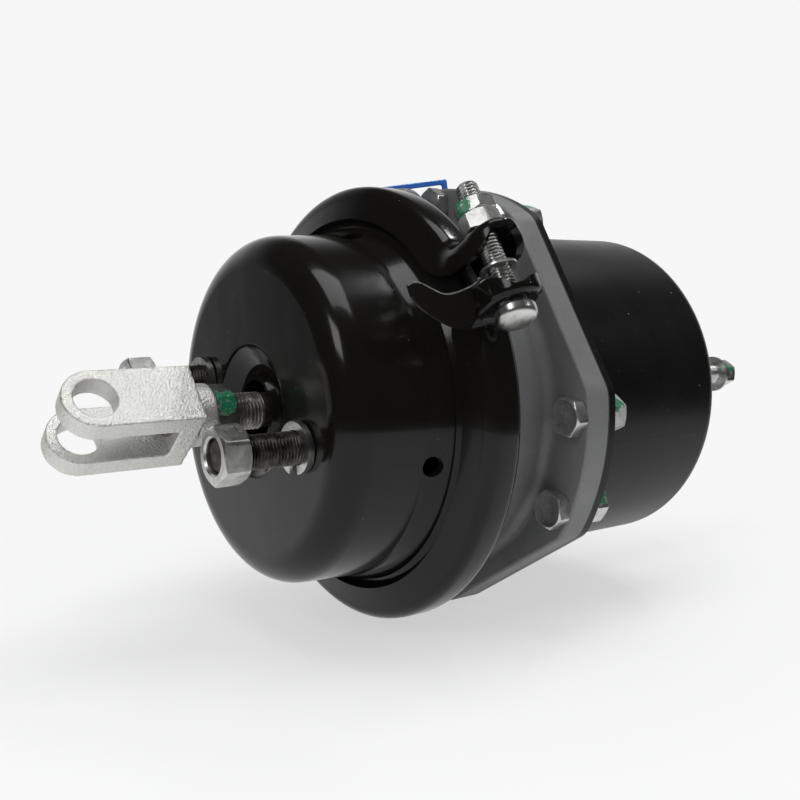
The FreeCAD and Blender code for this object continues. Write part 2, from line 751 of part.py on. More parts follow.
def ear_valley(middle, outer_z, sign):
    # Hollow rounding between the band's crest and the outer face of an ear, sunk a little into both
    crest = s.clamp_radius.value
    hollow = s.clamp_valley.value if sign < 0 else s.clamp_low_valley.value
    sunk = s.valley_sink.value
    bite = 0.1
    centre_z = outer_z - sign * hollow
    centre_y = math.sqrt((crest + hollow) ** 2 - centre_z ** 2)
    share = (crest - bite) / (crest + hollow)
    x = middle - s.valley_half_width.value
    centre = V(x, centre_y, centre_z)
    low = V(x, centre_y * share, centre_z * share)
    high = V(x, centre_y, outer_z + sign * bite)
    towards = low.sub(centre).add(high.sub(centre))
    arc = Part.Arc(low, centre.add(towards.normalize().multiply(hollow + bite)), high).toShape()
    root = math.sqrt(crest ** 2 - outer_z ** 2) - sunk
    corners = [high, V(x, centre_y, outer_z + sign * sunk), V(x, root, outer_z + sign * sunk),
               V(x, low.y * (1 - sunk / crest), low.z * (1 - sunk / crest)), low]
    lines = [Part.makeLine(a, b) for a, b in zip(corners, corners[1:])]
    return Part.Face(Part.Wire([arc] + lines)).extrude(V(s.valley_half_width.value * 2, 0, 0))


def roof_radius():
    return (s.clamp_radius - s.clamp_thickness).value


def clamp_place():
    # Frame of the clamp bolt: its axis along +X of the pieces, turned to run along the band's tangent
    middle = -(s.pot_depth + s.casting_gap / 2).value
    local = FreeCAD.Placement(V(middle, s.clamp_bolt_offset.value, 0), FreeCAD.Rotation(V(1, 0, 0), V(0, 0, 1)))
    clock = FreeCAD.Placement(V(0, 0, 0), FreeCAD.Rotation(V(1, 0, 0), s.clamp_clock.value))
    return clock.multiply(local)


def make_clamp_bolt():
    seat = s.ear_low.value
    radius = s.clamp_bolt_radius.value
    head = s.clamp_head_radius.value
    tip = s.clamp_bolt_tip.value
    face = seat - s.clamp_bolt_head.value
    profile = [V(face, 0, 0), V(face, head - 1.6, 0), V(face + 0.9, head - 0.5, 0), V(face + 2.2, head, 0),
               V(seat, head, 0), V(seat, radius, 0), V(tip - 1.0, radius, 0), V(tip, radius - 1.0, 0), V(tip, 0, 0)]
    subpart(fixed("clamp_bolt", turned_shape(profile), clamp_place()), "clamp_bolt")
    bore = radius + s.running_clearance.value
    nut = hexagon(s.ear_high.value, s.small_nut_width.value, s.clamp_nut_height.value, bore)
    spin = FreeCAD.Placement(V(0, 0, 0), FreeCAD.Rotation(V(1, 0, 0), 14))
    subpart(fixed("clamp_nut", nut, clamp_place().multiply(spin)), "clamp_nut")
    lock_x = (s.ear_high + s.clamp_nut_height).value
    lock = hexagon(lock_x, s.small_nut_width.value, s.clamp_lock_height.value, bore)
    spin = FreeCAD.Placement(V(0, 0, 0), FreeCAD.Rotation(V(1, 0, 0), -9))
    subpart(fixed("clamp_lock_nut", lock, clamp_place().multiply(spin)), "clamp_lock_nut")


# Thin tag: a tab round the clamp bolt and a bowed face that hangs in front of the band
def make_tag():
    middle = -(s.pot_depth + s.casting_gap / 2).value
    thick = s.tag_thickness.value
    seat = (s.ear_low + s.ear_height + s.tag_seat).value
    bolt_y = s.clamp_bolt_offset.value
    tab = Part.makeCylinder(6.4, thick, V(middle, bolt_y, seat))
    tip = middle + s.tag_reach.value
    inner_y = s.clamp_radius.value + 0.6
    start = V(middle + s.ear_end_radius.value + 0.4, inner_y + 2.6, 0)
    bow = V((start.x + tip) / 2, inner_y - 1.8, 0)
    end = V(tip, inner_y, 0)
    near = Part.Arc(start, bow, end).toShape()
    shift = V(0, thick, 0)
    far = Part.Arc(start + shift, bow + shift, end + shift).toShape()
    face = Part.Face(Part.Wire([near, Part.makeLine(end, end + shift), far, Part.makeLine(start + shift, start)]))
    skirt = face.extrude(V(0, 0, -s.tag_drop.value))
    skirt.translate(V(0, 0, seat + thick))
    lowest = seat + thick - s.tag_drop.value
    corner = s.tag_drop.value * 0.55
    keep = Part.makeBox(tip - corner - start.x, 40, s.tag_drop.value + 2, V(start.x, bolt_y - 30, lowest - 1))
    keep = keep.fuse(Part.makeBox(corner + 2, 40, s.tag_drop.value - corner + 2, V(tip - corner, bolt_y - 30, lowest + corner)))
    keep = keep.fuse(Part.makeCylinder(corner, 40, V(tip - corner, bolt_y - 30, lowest + corner), V(0, 1, 0)))
    skirt = skirt.common(keep)
    dip = s.tag_dip.value
    half = (tip - 2 - start.x - 1.5) / 2
    scoop = (half ** 2 + dip ** 2) / (2 * dip)
    hollow = V(start.x + 1.5 + half, bolt_y - 30, seat + thick - dip + scoop)
    skirt = skirt.cut(Part.makeCylinder(scoop, 40, hollow, V(0, 1, 0)))
    strap = Part.makeBox(start.x + thick - middle, 6.0, thick, V(middle, inner_y + 1.2, seat))
    hole = Part.makeCylinder(s.clamp_bolt_radius.value + 0.3, thick * 4, V(middle, bolt_y, seat - thick))
    tag = tab.fuse([skirt, strap]).cut(hole).removeSplitter()
    subpart(turned(fixed("identification_tag", tag), s.clamp_clock.value), "identification_tag")


# Plate with four lobes: a disc cut by four straight sides, used by the flange, gasket and housing
def lobed_plate(name, front, thickness, corner=True):
    disc = rod(name + "_disc", -(front + thickness), s.flange_radius, thickness)
    side = s.flange_side
    square = block(name + "_square", (-(front + thickness), -side, -side), (thickness, side * 2, side * 2))
    square.Placement = FreeCAD.Placement(V(square.Placement.Base), FreeCAD.Rotation())
    turned_square = doc.addObject("Part::MultiFuse", name + "_turned")
    turned_square.Shapes = [square, block(name + "_core", (-(front + thickness), -side / 2, -side / 2),
                                          (thickness, side, side))]
    doc.recompute()
    turned(turned_square, 45)
    plate = common(name + "_plate", disc, turned_square)
    radius = s.flange_corner.value
    edges = []
    for i, edge in enumerate(plate.Shape.Edges, start=1):
        box = edge.BoundBox
        if box.YLength < 1e-4 and box.ZLength < 1e-4 and box.XLength > 0.1:
            edges.append((i, radius, radius))
    soft = doc.addObject("Part::Fillet", name + "_soft")
    soft.Base = plate
    soft.Edges = edges
    doc.recompute()
    return soft


def bolt_clocks():
    lobes = int(s.lobe_count.value)
    half = s.bolt_half_angle.value
    return [i * 360.0 / lobes + side * half for i in range(lobes) for side in (-1, 1)]


def bolt_holes(name, front, thickness, clearance=0.1):
    holes = []
    for i, clock in enumerate(bolt_clocks()):
        spot = polar(s.bolt_circle_radius.value, clock)
        holes.append(rod("%s_%d" % (name, i), -(front + thickness) - 1, s.bolt_radius + clearance, thickness + 2,
                         V(1, 0, 0), spot.y, spot.z))
    return joined(name, holes)


# Cast middle body: service cavity in front, bolted flange and hub for the thrust tube behind
def make_casting():
    front = -s.casting_front
    mouth = s.lip_root_radius - s.sheet_wall - 1
    floor = -s.casting_floor
    flange_back = -(s.flange_front + s.flange_thickness)
    spigot = s.housing_radius - s.sheet_wall - s.spigot_clearance
    spigot_back = flange_back - s.gasket_thickness - s.spigot_length
    web_back = floor - s.casting_web
    hub_back = -s.piston_travel_stop + s.hub_gap
    recess = s.thrust_plate_radius + 1
    recess_back = floor - s.thrust_plate_thickness - 0.6
    points = [
        (front, mouth), (front, s.lip_radius), (front - s.lip_edge, s.lip_radius),
        (front - s.lip_root, s.lip_root_radius), (front - s.lip_root - 1.6, s.lip_root_radius - 2.4),
        (-(s.flange_front + 1), s.casting_hub_radius),
        (flange_back, s.casting_hub_radius), (flange_back, spigot), (spigot_back, spigot),
        (spigot_back, spigot - 5), (web_back, spigot - 8), (web_back, s.bore_radius + 7),
        (hub_back, s.bore_radius + 5), (hub_back, s.bore_radius), (recess_back, s.bore_radius),
        (recess_back, recess), (floor, recess), (floor, s.cavity_floor_radius), (front - 9, mouth - 3.8),
    ]
    body = turned_body("casting_core", points)
    rounded(body, "casting_floor_corner", [(floor, s.cavity_floor_radius)], 5.0)
    flange = lobed_plate("casting_flange", s.flange_front, s.flange_thickness)
    well = rod("casting_well", flange_back - 1, spigot - 3, s.flange_thickness + 2)
    solid = joined("casting_solid", [body, cut("casting_flange_ring", flange, well)])
    waist = s.casting_hub_radius.value
    ring = ring_edges_at(solid.Shape, -s.flange_front.value, waist - 3, waist + 3)
    soft = doc.addObject("Part::Fillet", "casting_soft")
    soft.Base = solid
    radius = s.flange_fillet.value
    rims = outline_edges(solid.Shape, -s.flange_front.value, s.flange_edge.value)
    soft.Edges = [(i, radius, radius) for i in ring] + rims
    doc.recompute()
    drilled_flange = cut("casting_drilled", soft, bolt_holes("casting_holes", s.flange_front, s.flange_thickness))
    turned(drilled_flange, s.stud_clock.value)
    # ports: both mouths face the same way, so that the hoses run side by side
    x = -s.port_offset
    bosses = []
    bores = []
    for name, mouth_y, height, inner in (("upper", s.port_mouth, s.port_height, s.port_inner),
                                         ("lower", s.lower_port_mouth, s.lower_port_height,
                                          s.lower_port_mouth + s.port_length)):
        boss = rod("port_boss_" + name, x, s.port_radius, inner - mouth_y, V(0, 1, 0), mouth_y, height)
        doc.recompute()
        bosses.append(soft_end(boss, "port_boss_soft_" + name, inner.value))
        bores.append(rod("port_bore_" + name, x, s.port_bore_radius, s.port_bore_depth + 1, V(0, 1, 0),
                         mouth_y - 1, height))
    web = block("port_web", (x - s.port_radius * 0.8, s.port_mouth + 1.5, s.casting_hub_radius - 12),
                (s.port_radius * 1.6, s.port_inner - s.port_mouth - 4, s.port_height - s.casting_hub_radius + 12))
    cavity = Part.Face(Part.makePolygon([V(front.value + 1, 0, 0), V(front.value + 1, mouth.value, 0),
                                         V(front.value - 9, mouth.value - 3.8, 0), V(floor.value, s.cavity_floor_radius.value, 0),
                                         V(floor.value, 0, 0), V(front.value + 1, 0, 0)]))
    keep_out = fixed("service_cavity", cavity.revolve(V(0, 0, 0), V(1, 0, 0), 360))
    outside = cut("port_outside", joined("port_bosses", bosses + [web]), keep_out)
    upper_drill = rod("service_passage", x + 2, 2.5, s.port_height - 48, V(0, 0, -1), s.port_mouth + 9, s.port_height)
    lower_start = V(x.value - 2, (s.lower_port_mouth + s.port_bore_depth - 3).value, s.lower_port_height.value)
    direction = V(web_back.value - 5, -50.0, 12.0).sub(lower_start)
    lower_drill = rod("parking_passage", lower_start.x, 2.5, direction.Length, direction, lower_start.y, lower_start.z)
    seat = rod("port_spot_face", x, s.plug_flange_radius + 0.5, s.port_radius, V(0, -1, 0), s.port_mouth, s.port_height)
    whole = joined("casting_whole", [drilled_flange, outside])
    result = cut("flange_casting", whole, joined("casting_bores", bores + [upper_drill, lower_drill, seat]))
    return subpart(result, "flange_casting")


def soft_end(cylinder, name, end_y):
    # Rounds the blind end of a port boss
    soft = doc.addObject("Part::Fillet", name)
    soft.Base = cylinder
    edges = []
    for i, edge in enumerate(cylinder.Shape.Edges, start=1):
        box = edge.BoundBox
        if abs(box.YMin - end_y) < 1e-4 and box.YLength < 1e-4:
            edges.append((i, 3.5, 3.5))
    soft.Edges = edges
    doc.recompute()
    return soft


def ring_edges_at(shape, x, low, high):
    found = []
    for i, edge in enumerate(shape.Edges, start=1):
        curve = edge.Curve
        if curve.TypeId == "Part::GeomCircle" and low < curve.Radius < high:
            if abs(curve.Center.x - x) < 1e-3 and edge.BoundBox.XLength < 1e-3:
                found.append(i)
    return found


def outline_edges(shape, x, size):
    # Edges of a lobed plate's outline on one of its faces
    found = []
    for i, edge in enumerate(shape.Edges, start=1):
        box = edge.BoundBox
        far = edge.valueAt((edge.FirstParameter + edge.LastParameter) / 2)
        if box.XLength < 1e-3 and abs(box.XMin - x) < 1e-3 and math.hypot(far.y, far.z) > s.bolt_circle_radius.value - 4:
            found.append((i, size, size))
    return found


def make_gasket():
    front = s.flange_front + s.flange_thickness
    plate = lobed_plate("gasket", front, s.gasket_thickness)
    well = rod("gasket_well", -(front + s.gasket_thickness) - 1, s.housing_radius - s.sheet_wall + 0.4,
               s.gasket_thickness + 2)
    holes = bolt_holes("gasket_holes", front, s.gasket_thickness)
    result = cut("housing_gasket", plate, joined("gasket_cuts", [well, holes]))
    subpart(turned(result, s.stud_clock.value), "housing_gasket")


# Spring housing: drawn cup with a lobed flange welded round its mouth
def make_housing():
    front = s.flange_front + s.flange_thickness + s.gasket_thickness
    inner = s.housing_radius - s.sheet_wall
    end = -s.housing_end
    hole = s.boss_radius - 3
    points = [
        (-front, inner), (-front, s.housing_radius), (end, s.housing_radius), (end, hole),
        (end + s.sheet_wall, hole), (end + s.sheet_wall, inner),
    ]
    body = turned_body("housing_shell", points)
    rounded(body, "housing_outer_corner", [(end, s.housing_radius)], s.housing_corner)
    rounded(body, "housing_inner_corner", [(end + s.sheet_wall, inner)], s.housing_corner - s.sheet_wall)
    plate = lobed_plate("housing_flange", front, s.sheet_wall)
    well = rod("housing_well", -(front + s.sheet_wall) - 1, s.housing_radius - 1, s.sheet_wall + 2)
    solid = joined("housing_solid", [body, cut("housing_flange_ring", plate, well)])
    holes = bolt_holes("housing_holes", front, s.sheet_wall)
    vent = rod("housing_vent", end - 1, 3.1, s.sheet_wall + 2, V(1, 0, 0), s.breather_offset)
    result = cut("spring_housing", solid, joined("housing_cuts", [holes, vent]))
    subpart(turned(result, s.stud_clock.value), "spring_housing")
    # threaded boss for the release bolt, welded into the end wall
    boss = [(end + s.sheet_wall, s.release_radius + 0.08), (end + s.sheet_wall, hole), (end, hole),
            (end, s.boss_radius), (end - s.boss_length + 1.5, s.boss_radius), (end - s.boss_length, s.boss_radius - 1.5),
            (end - s.boss_length, s.release_radius + 0.08)]
    subpart(turned_body("release_boss", boss), "release_boss")
    cap = [(end, 0), (end, s.breather_radius), (end - 2.2, s.breather_radius), (end - 4.0, s.breather_radius - 2),
           (end - 4.0, 0)]
    breather = turned_body("breather_cap", cap)
    shift = polar(s.breather_offset.value, s.stud_clock.value)
    breather.Placement = FreeCAD.Placement(shift, FreeCAD.Rotation())
    subpart(breather, "breather_cap")


# Flange bolts: heads at the front, nuts behind, clocked unevenly as fitted
def make_flange_bolts():
    seat = -s.flange_front.value
    radius = s.bolt_radius.value
    grip = (s.flange_thickness + s.gasket_thickness + s.sheet_wall).value
    tail = grip + (s.bolt_nut_height + s.bolt_end).value
    head = hexagon(seat, s.small_nut_width.value, s.bolt_head_height.value, 0)
    shank = turned_shape([V(seat, 0, 0), V(seat, radius, 0), V(seat - tail + 1, radius, 0),
                          V(seat - tail, radius - 1, 0), V(seat - tail, 0, 0)])
    spins = (8, 21, 47, 3, 31, 12, 55, 26)
    places = []
    for clock, spin in zip(bolt_clocks(), spins * 4):
        places.append(along_x(polar(s.bolt_circle_radius.value, clock + s.stud_clock.value), spin))
    group("flange_bolts", head.fuse(shank).removeSplitter(), places)
    nut = hexagon(seat - grip - s.bolt_nut_height.value, s.small_nut_width.value, s.bolt_nut_height.value,
                  radius + s.running_clearance.value)
    places = []
    for clock, spin in zip(bolt_clocks(), spins[::-1] * 4):
        places.append(along_x(polar(s.bolt_circle_radius.value, clock + s.stud_clock.value), spin))
    group("flange_nuts", nut, places)


# Parking piston with seal, guide ring, thrust tube and thrust plate
def make_piston():
    web = -(s.piston_travel_stop + s.stroke)
    back = web - s.piston_web
    rim = s.housing_radius - s.sheet_wall - s.piston_clearance
    skirt_back = web - s.piston_skirt
    groove = rim - s.groove_depth
    seal = web - 3
    ring = skirt_back + 3 + s.ring_width
    points = [
        (web, s.release_radius + 1.2), (web, rim), (seal, rim), (seal, groove), (seal - s.seal_width, groove),
        (seal - s.seal_width, rim), (ring, rim), (ring, groove), (ring - s.ring_width, groove),
        (ring - s.ring_width, rim), (skirt_back, rim), (skirt_back, rim - s.piston_skirt_wall),
        (back, rim - s.piston_skirt_wall), (back, s.release_radius + 1.2),
    ]
    subpart(turned_body("parking_piston", points), "parking_piston")
    inner = groove + 0.05
    side = 0.1
    for name, start, width, outer in (("piston_seal", seal, s.seal_width, rim + 0.1),
                                      ("piston_guide_ring", ring, s.ring_width, rim + 0.1)):
        points = [(start - side, inner), (start - side, outer), (start - width + side, outer),
                  (start - width + side, inner)]
        subpart(turned_body(name, points), name)
    plate_front = -s.casting_floor - 0.2
    tube_front = plate_front - s.thrust_plate_thickness
    bore = s.tube_radius - s.tube_wall
    points = [(tube_front, bore), (tube_front, s.tube_radius), (web, s.tube_radius), (web, bore)]
    subpart(turned_body("thrust_tube", points), "thrust_tube")
    points = [(tube_front, 0), (tube_front, s.thrust_plate_radius), (plate_front - 1, s.thrust_plate_radius),
              (plate_front, s.thrust_plate_radius - 1), (plate_front, 0)]
    subpart(turned_body("thrust_plate", points), "thrust_plate")


def make_bush_and_seals():
    hub_back = -s.piston_travel_stop + s.hub_gap
    inner = s.tube_radius + s.running_clearance
    outer = s.bore_radius - 0.05
    start = hub_back + 0.5
    points = [(start, inner), (start, outer), (start + s.bush_length, outer), (start + s.bush_length, inner)]
    subpart(turned_body("thrust_tube_bush", points), "thrust_tube_bush")
    seal_start = start + s.bush_length + 0.3
    points = [(seal_start, inner), (seal_start, outer), (seal_start + 3.2, outer), (seal_start + 3.2, inner + 0.6)]
    subpart(turned_body("thrust_tube_seal", points), "thrust_tube_seal")


# Release bolt: hooked end inside the thrust tube, flanged hexagon pinned on its outer end
def make_release_bolt():
    web = -(s.piston_travel_stop + s.stroke)
    seat = -(s.housing_end + s.boss_length + s.stroke + s.release_spare)
    end = seat - s.release_flange_thickness - s.release_hex_height
    radius = s.release_radius
    neck = radius - 1.6
    hook = web + 0.25
    points = [
        (end + 1, 0), (end + 1, neck), (seat, neck), (seat, radius), (hook, radius),
        (hook, s.release_hook_radius), (hook + s.release_hook_height, s.release_hook_radius),
        (hook + s.release_hook_height, 0),
    ]
    bolt = turned_body("release_screw", points)
    cross = rod("release_pin_hole_a", (seat + end) / 2 - 1, s.release_pin_radius, 40, V(0, 1, 0), -20)
    subpart(cut("release_bolt", bolt, cross), "release_bolt")
    bore = neck.value + 0.02
    flange = turned_shape([V(seat.value, bore, 0), V(seat.value, s.release_flange_radius.value, 0),
                           V((seat - s.release_flange_thickness * 0.6).value, s.release_flange_radius.value, 0),
                           V((seat - s.release_flange_thickness - 1.6).value, s.release_hex_width.value / 2, 0),
                           V((seat - s.release_flange_thickness - 1.6).value, bore, 0)])
    head = hexagon(end.value, s.release_hex_width.value, (seat - end).value - 1, 0)
    head = head.cut(Part.makeCylinder(bore, (seat - end).value, V(end.value + 1, 0, 0), V(1, 0, 0)))
    head = flange.fuse(head).removeSplitter()
    pin_x = ((seat + end) / 2 - 1).value
    pin_hole = Part.makeCylinder(s.release_pin_radius.value, 40, V(pin_x, -20, 0), V(0, 1, 0))
    subpart(fixed("release_hex", head.cut(pin_hole)), "release_hex")
    reach = s.release_hex_width.value / 2 - 0.5
    pin = Part.makeCylinder(s.release_pin_radius.value - 0.02, reach * 2, V(pin_x, -reach, 0), V(0, 1, 0))
    subpart(fixed("release_pin", pin), "release_pin")


# Plastic shipping plugs in the ports: ribbed stem, flange and a pull loop
def make_port_plugs():
    x = -s.port_offset.value
    stem_radius = s.port_bore_radius.value - 0.1
    flange = s.plug_flange_radius.value
    thick = s.plug_flange_thickness.value
    stem = Part.makeCylinder(stem_radius, s.plug_stem.value, V(0, 0, 0), V(0, 1, 0))
    disc = Part.makeCylinder(flange, thick, V(0, -thick, 0), V(0, 1, 0))
    length = s.plug_loop_length.value
    height = s.plug_loop_height.value
    bar = 1.9
    outer = Part.makeBox(length, thick, height, V(-length, -thick, flange - height))
    inner = Part.makeBox(length - bar * 2 - 6, thick * 3, height - bar * 2,
                         V(-length + bar, -thick * 2, flange - height + bar))
    plug = disc.fuse([stem, outer]).cut(inner).removeSplitter()
    tilt = FreeCAD.Rotation(V(0, 1, 0), 9)
    places = [FreeCAD.Placement(V(x, s.port_mouth.value, s.port_height.value), tilt),
              FreeCAD.Placement(V(x, s.lower_port_mouth.value, s.lower_port_height.value), tilt)]
    group("port_plugs", plug, places)


make_service_pot()
make_mounting_studs()
make_stud_nuts()
make_stud_washers()
make_push_rod()
make_push_plate()
make_lock_nut()
make_clevis()
make_springs()
make_diaphragm()
make_clamp_ring()
make_clamp_bolt()
make_tag()
make_casting()
make_gasket()
make_housing()
make_flange_bolts()
make_piston()
make_bush_and_seals()
make_release_bolt()
make_port_plugs()
doc.recompute()

for obj in doc.Objects:
    if "Invalid" in obj.State or "Error" in obj.State:
        raise ValueError("failed object: " + obj.Label)
os.makedirs("parts", exist_ok=True)
for obj in subparts:
    shape = obj.Shape
    if shape.isNull() or not shape.isValid():
        raise ValueError("bad shape: " + obj.Label)
    shape.exportStep("parts/" + obj.Label + ".step")
    box = shape.BoundBox
    print("%-22s %d solids %9.0f mm3  x %.1f..%.1f" % (obj.Label, len(shape.Solids), shape.Volume, box.XMin, box.XMax))
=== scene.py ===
import bmesh
import bpy
import json
import math
from mathutils import Matrix, Vector


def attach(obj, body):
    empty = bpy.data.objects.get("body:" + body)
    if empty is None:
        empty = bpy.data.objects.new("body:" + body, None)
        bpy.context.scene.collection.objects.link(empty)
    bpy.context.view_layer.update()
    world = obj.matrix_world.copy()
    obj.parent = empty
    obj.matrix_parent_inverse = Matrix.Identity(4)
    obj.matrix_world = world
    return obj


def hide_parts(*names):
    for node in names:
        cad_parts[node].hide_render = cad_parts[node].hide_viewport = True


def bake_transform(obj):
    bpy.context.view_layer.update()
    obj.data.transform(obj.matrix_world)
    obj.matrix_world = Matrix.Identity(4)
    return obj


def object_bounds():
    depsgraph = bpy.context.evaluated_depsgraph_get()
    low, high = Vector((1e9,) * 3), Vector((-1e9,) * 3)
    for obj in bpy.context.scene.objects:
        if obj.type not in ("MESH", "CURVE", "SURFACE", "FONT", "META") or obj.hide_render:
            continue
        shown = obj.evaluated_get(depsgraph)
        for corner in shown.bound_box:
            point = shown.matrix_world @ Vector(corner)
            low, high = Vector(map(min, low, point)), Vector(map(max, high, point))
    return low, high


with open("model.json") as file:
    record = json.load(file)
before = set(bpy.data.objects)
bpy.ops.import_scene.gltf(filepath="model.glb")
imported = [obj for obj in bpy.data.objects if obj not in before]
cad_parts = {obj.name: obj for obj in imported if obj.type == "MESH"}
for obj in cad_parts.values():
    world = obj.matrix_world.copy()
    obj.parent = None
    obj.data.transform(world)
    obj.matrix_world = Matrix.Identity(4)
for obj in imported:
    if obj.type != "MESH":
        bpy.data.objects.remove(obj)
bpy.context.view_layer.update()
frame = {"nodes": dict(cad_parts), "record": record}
nodes = frame["nodes"]
print("frame loaded:", len(nodes), "nodes")

# Lengths are millimetres and angles are degrees, up to where a mesh or a shader gets them
mm = 0.001
onAxis = Matrix.Identity(4)
layout = {
    "studClock": -13.4, "studSpacing": 76.2, "clevisClock": 40.8,
    "clampClock": 29.4, "clampX": -50.7, "clampHeight": 94.5, "clampLean": 1.2, "leanFrom": 5.6,
    "lobes": 4, "boltHalfAngle": 13.0, "boltCircle": 79.0,
}
threads = {
    "stud": {"radius": 5.95, "depth": 0.68, "pitch": 1.25},
    "rod": {"radius": 6.95, "depth": 0.85, "pitch": 1.5},
    "small": {"radius": 3.95, "depth": 0.62, "pitch": 1.25},
    "release": {"radius": 4.95, "depth": 0.8, "pitch": 1.5},
}


def polar(radius, clock, x=0.0):
    a = math.radians(clock)
    return Vector((x, radius * math.cos(a), radius * math.sin(a)))


def along(point, spin=0.0):
    return Matrix.Translation(point) @ Matrix.Rotation(math.radians(spin), 4, "X")


def facing(way):
    # turns +X to that way
    return Vector((1, 0, 0)).rotation_difference(Vector(way)).to_matrix().to_4x4()


def boltClocks():
    pairs = [(lobe, side) for lobe in range(layout["lobes"]) for side in (-1, 1)]
    return [360.0 / layout["lobes"] * lobe + side * layout["boltHalfAngle"] + layout["studClock"]
            for lobe, side in pairs]


def clampTurn():
    return Matrix.Rotation(math.radians(layout["clampClock"]), 4, "X")


def clampPlace():
    # the clamp bolt's axis as X, leaning about the tag's height
    upright = Matrix.Translation((layout["clampX"], layout["clampHeight"], 0)) @ facing((0, 0, 1))
    lean = Matrix.Rotation(math.radians(layout["clampLean"]), 4, "Y")
    up, down = (Matrix.Translation((sign * layout["leanFrom"], 0, 0)) for sign in (1, -1))
    return clampTurn() @ upright @ (up @ lean @ down)


# Dabs of green paint: where each lies beside its nut or hexagon, and its radius
dabs = {
    "lockNut": {"out": 9.4, "clock": 34, "x": 14.2, "radius": 4.8},
    "clampNut": {"offset": (29.4, 0.6, -7.2), "radius": 4.2},
    "releaseHex": {"out": 6.0, "clock": 30, "x": -276, "radius": 5.0},
    "rearNuts": {"radius": 3.8, "offsets": ((-104.0, 5.0, 4.0), (-103.0, 5.0, 4.5), (-104.0, 0.0, 6.0),
                                            (-107.0, 4.0, 3.0), (-107.0, -4.0, 4.0))},
}


def paintDabs():
    # centres and radii in metres
    lock, nut, release, rear = (dabs[name] for name in ("lockNut", "clampNut", "releaseHex", "rearNuts"))
    places = [(polar(lock["out"], lock["clock"], lock["x"]), lock["radius"]),
              (clampPlace() @ Vector(nut["offset"]), nut["radius"]),
              (polar(release["out"], release["clock"], release["x"]), release["radius"])]
    for clock, offset in zip(boltClocks(), rear["offsets"]):
        places.append((polar(layout["boltCircle"], clock) + Vector(offset), rear["radius"]))
    return [(tuple(point * mm), radius * mm) for point, radius in places]


# Shader sockets with arithmetic
class Wire:
    def __init__(self, finish, socket):
        self.finish = finish
        self.socket = socket

    def math(self, operation, other, clamp=False):
        settings = {"operation": operation, "use_clamp": clamp}
        return self.finish.node("ShaderNodeMath", settings, {0: self, 1: other})

    def __add__(self, other):
        return self.math("ADD", other)

    def __sub__(self, other):
        return self.math("SUBTRACT", other)

    def __rsub__(self, other):
        return self.finish.node("ShaderNodeMath", {"operation": "SUBTRACT"}, {0: other, 1: self})

    def __mul__(self, other):
        return self.math("MULTIPLY", other)

    __radd__ = __add__
    __rmul__ = __mul__

    def clamped(self):
        return self.math("ADD", 0.0, clamp=True)

    def most(self, other):
        return self.math("MAXIMUM", other)

    def step(self, low, high):
        # 0 at low, 1 at high and smooth between, whichever of the two is the larger
        sockets = {"Value": self, "From Min": min(low, high), "From Max": max(low, high)}
        if low > high:
            sockets.update({"To Min": 1.0, "To Max": 0.0})
        return self.finish.node("ShaderNodeMapRange", {"interpolation_type": "SMOOTHSTEP"}, sockets)


class Finish:
    # a material on one principled shader, named after the record's slot
    def __init__(self, name, slot, constants):
        self.slot = slot
        self.material = bpy.data.materials.new(name)
        self.material.use_nodes = True
        self.tree = self.material.node_tree
        self.shader = self.tree.nodes["Principled BSDF"]
        for socket, value in constants.items():
            self.shader.inputs[socket].default_value = value
        self.place = self.node("ShaderNodeTexCoord", {}, {}, "Object")

    def node(self, kind, settings, sockets, output=0):
        made = self.tree.nodes.new(kind)
        for key, value in settings.items():
            setattr(made, key, value)
        for key, value in sockets.items():
            if isinstance(value, Wire):
                self.tree.links.new(value.socket, made.inputs[key])
            else:
                made.inputs[key].default_value = value
        return Wire(self, made.outputs[output])

    def vector(self, operation, other, output):
        return self.node("ShaderNodeVectorMath", {"operation": operation}, {0: self.place, 1: other}, output)

    def stretched(self, scale):
        return self.vector("MULTIPLY", scale, 0)

    def distance(self, point):
        return self.vector("DISTANCE", point, "Value")

    def noise(self, scale, detail=3.0, rough=0.55, place=None):
        sockets = {"Vector": place or self.place, "Scale": scale, "Detail": detail, "Roughness": rough}
        return self.node("ShaderNodeTexNoise", {}, sockets, "Fac")

    def cells(self, scale, feature="F1", output="Distance"):
        sockets = {"Vector": self.place, "Scale": scale}
        return self.node("ShaderNodeTexVoronoi", {"feature": feature}, sockets, output)

    def specks(self, scale, size, share):
        # a few small round specks: cells whose own random value is above a limit
        soft, edge = (0.5, 0.01)
        near = self.cells(scale)
        colour = self.cells(scale, output="Color")
        pick = self.node("ShaderNodeSeparateColor", {}, {"Color": colour}, "Red")
        return near.step(size, size * soft) * pick.step(1 - share, 1 - share + edge)

    def mix(self, factor, first, second):
        # 6, 7 and output 2 are the Mix node's sockets for colours
        sockets = {0: factor, 6: first, 7: second}
        return self.node("ShaderNodeMix", {"data_type": "RGBA"}, sockets, 2)

    def bump(self, height, distance, under=None):
        sockets = {"Height": height, "Distance": distance}
        if under:
            sockets["Normal"] = under
        return self.node("ShaderNodeBump", {}, sockets, "Normal")

    def feed(self, **inputs):
        names = {"colour": "Base Color", "roughness": "Roughness", "metallic": "Metallic", "normal": "Normal"}
        for key, wire in inputs.items():
            self.tree.links.new(wire.socket, self.shader.inputs[names[key]])
        return self


def grey(level, warm=0.0):
    return (level * (1 + warm), level, level * (1 - warm), 1.0)


def paintSkin(f, look):
    # fine orange peel over long soft waves
    wave = f.bump(f.noise(*look["sagWave"]), look["sag"])
    return f.bump(f.noise(*look["peelGrain"]), look["peel"], wave)


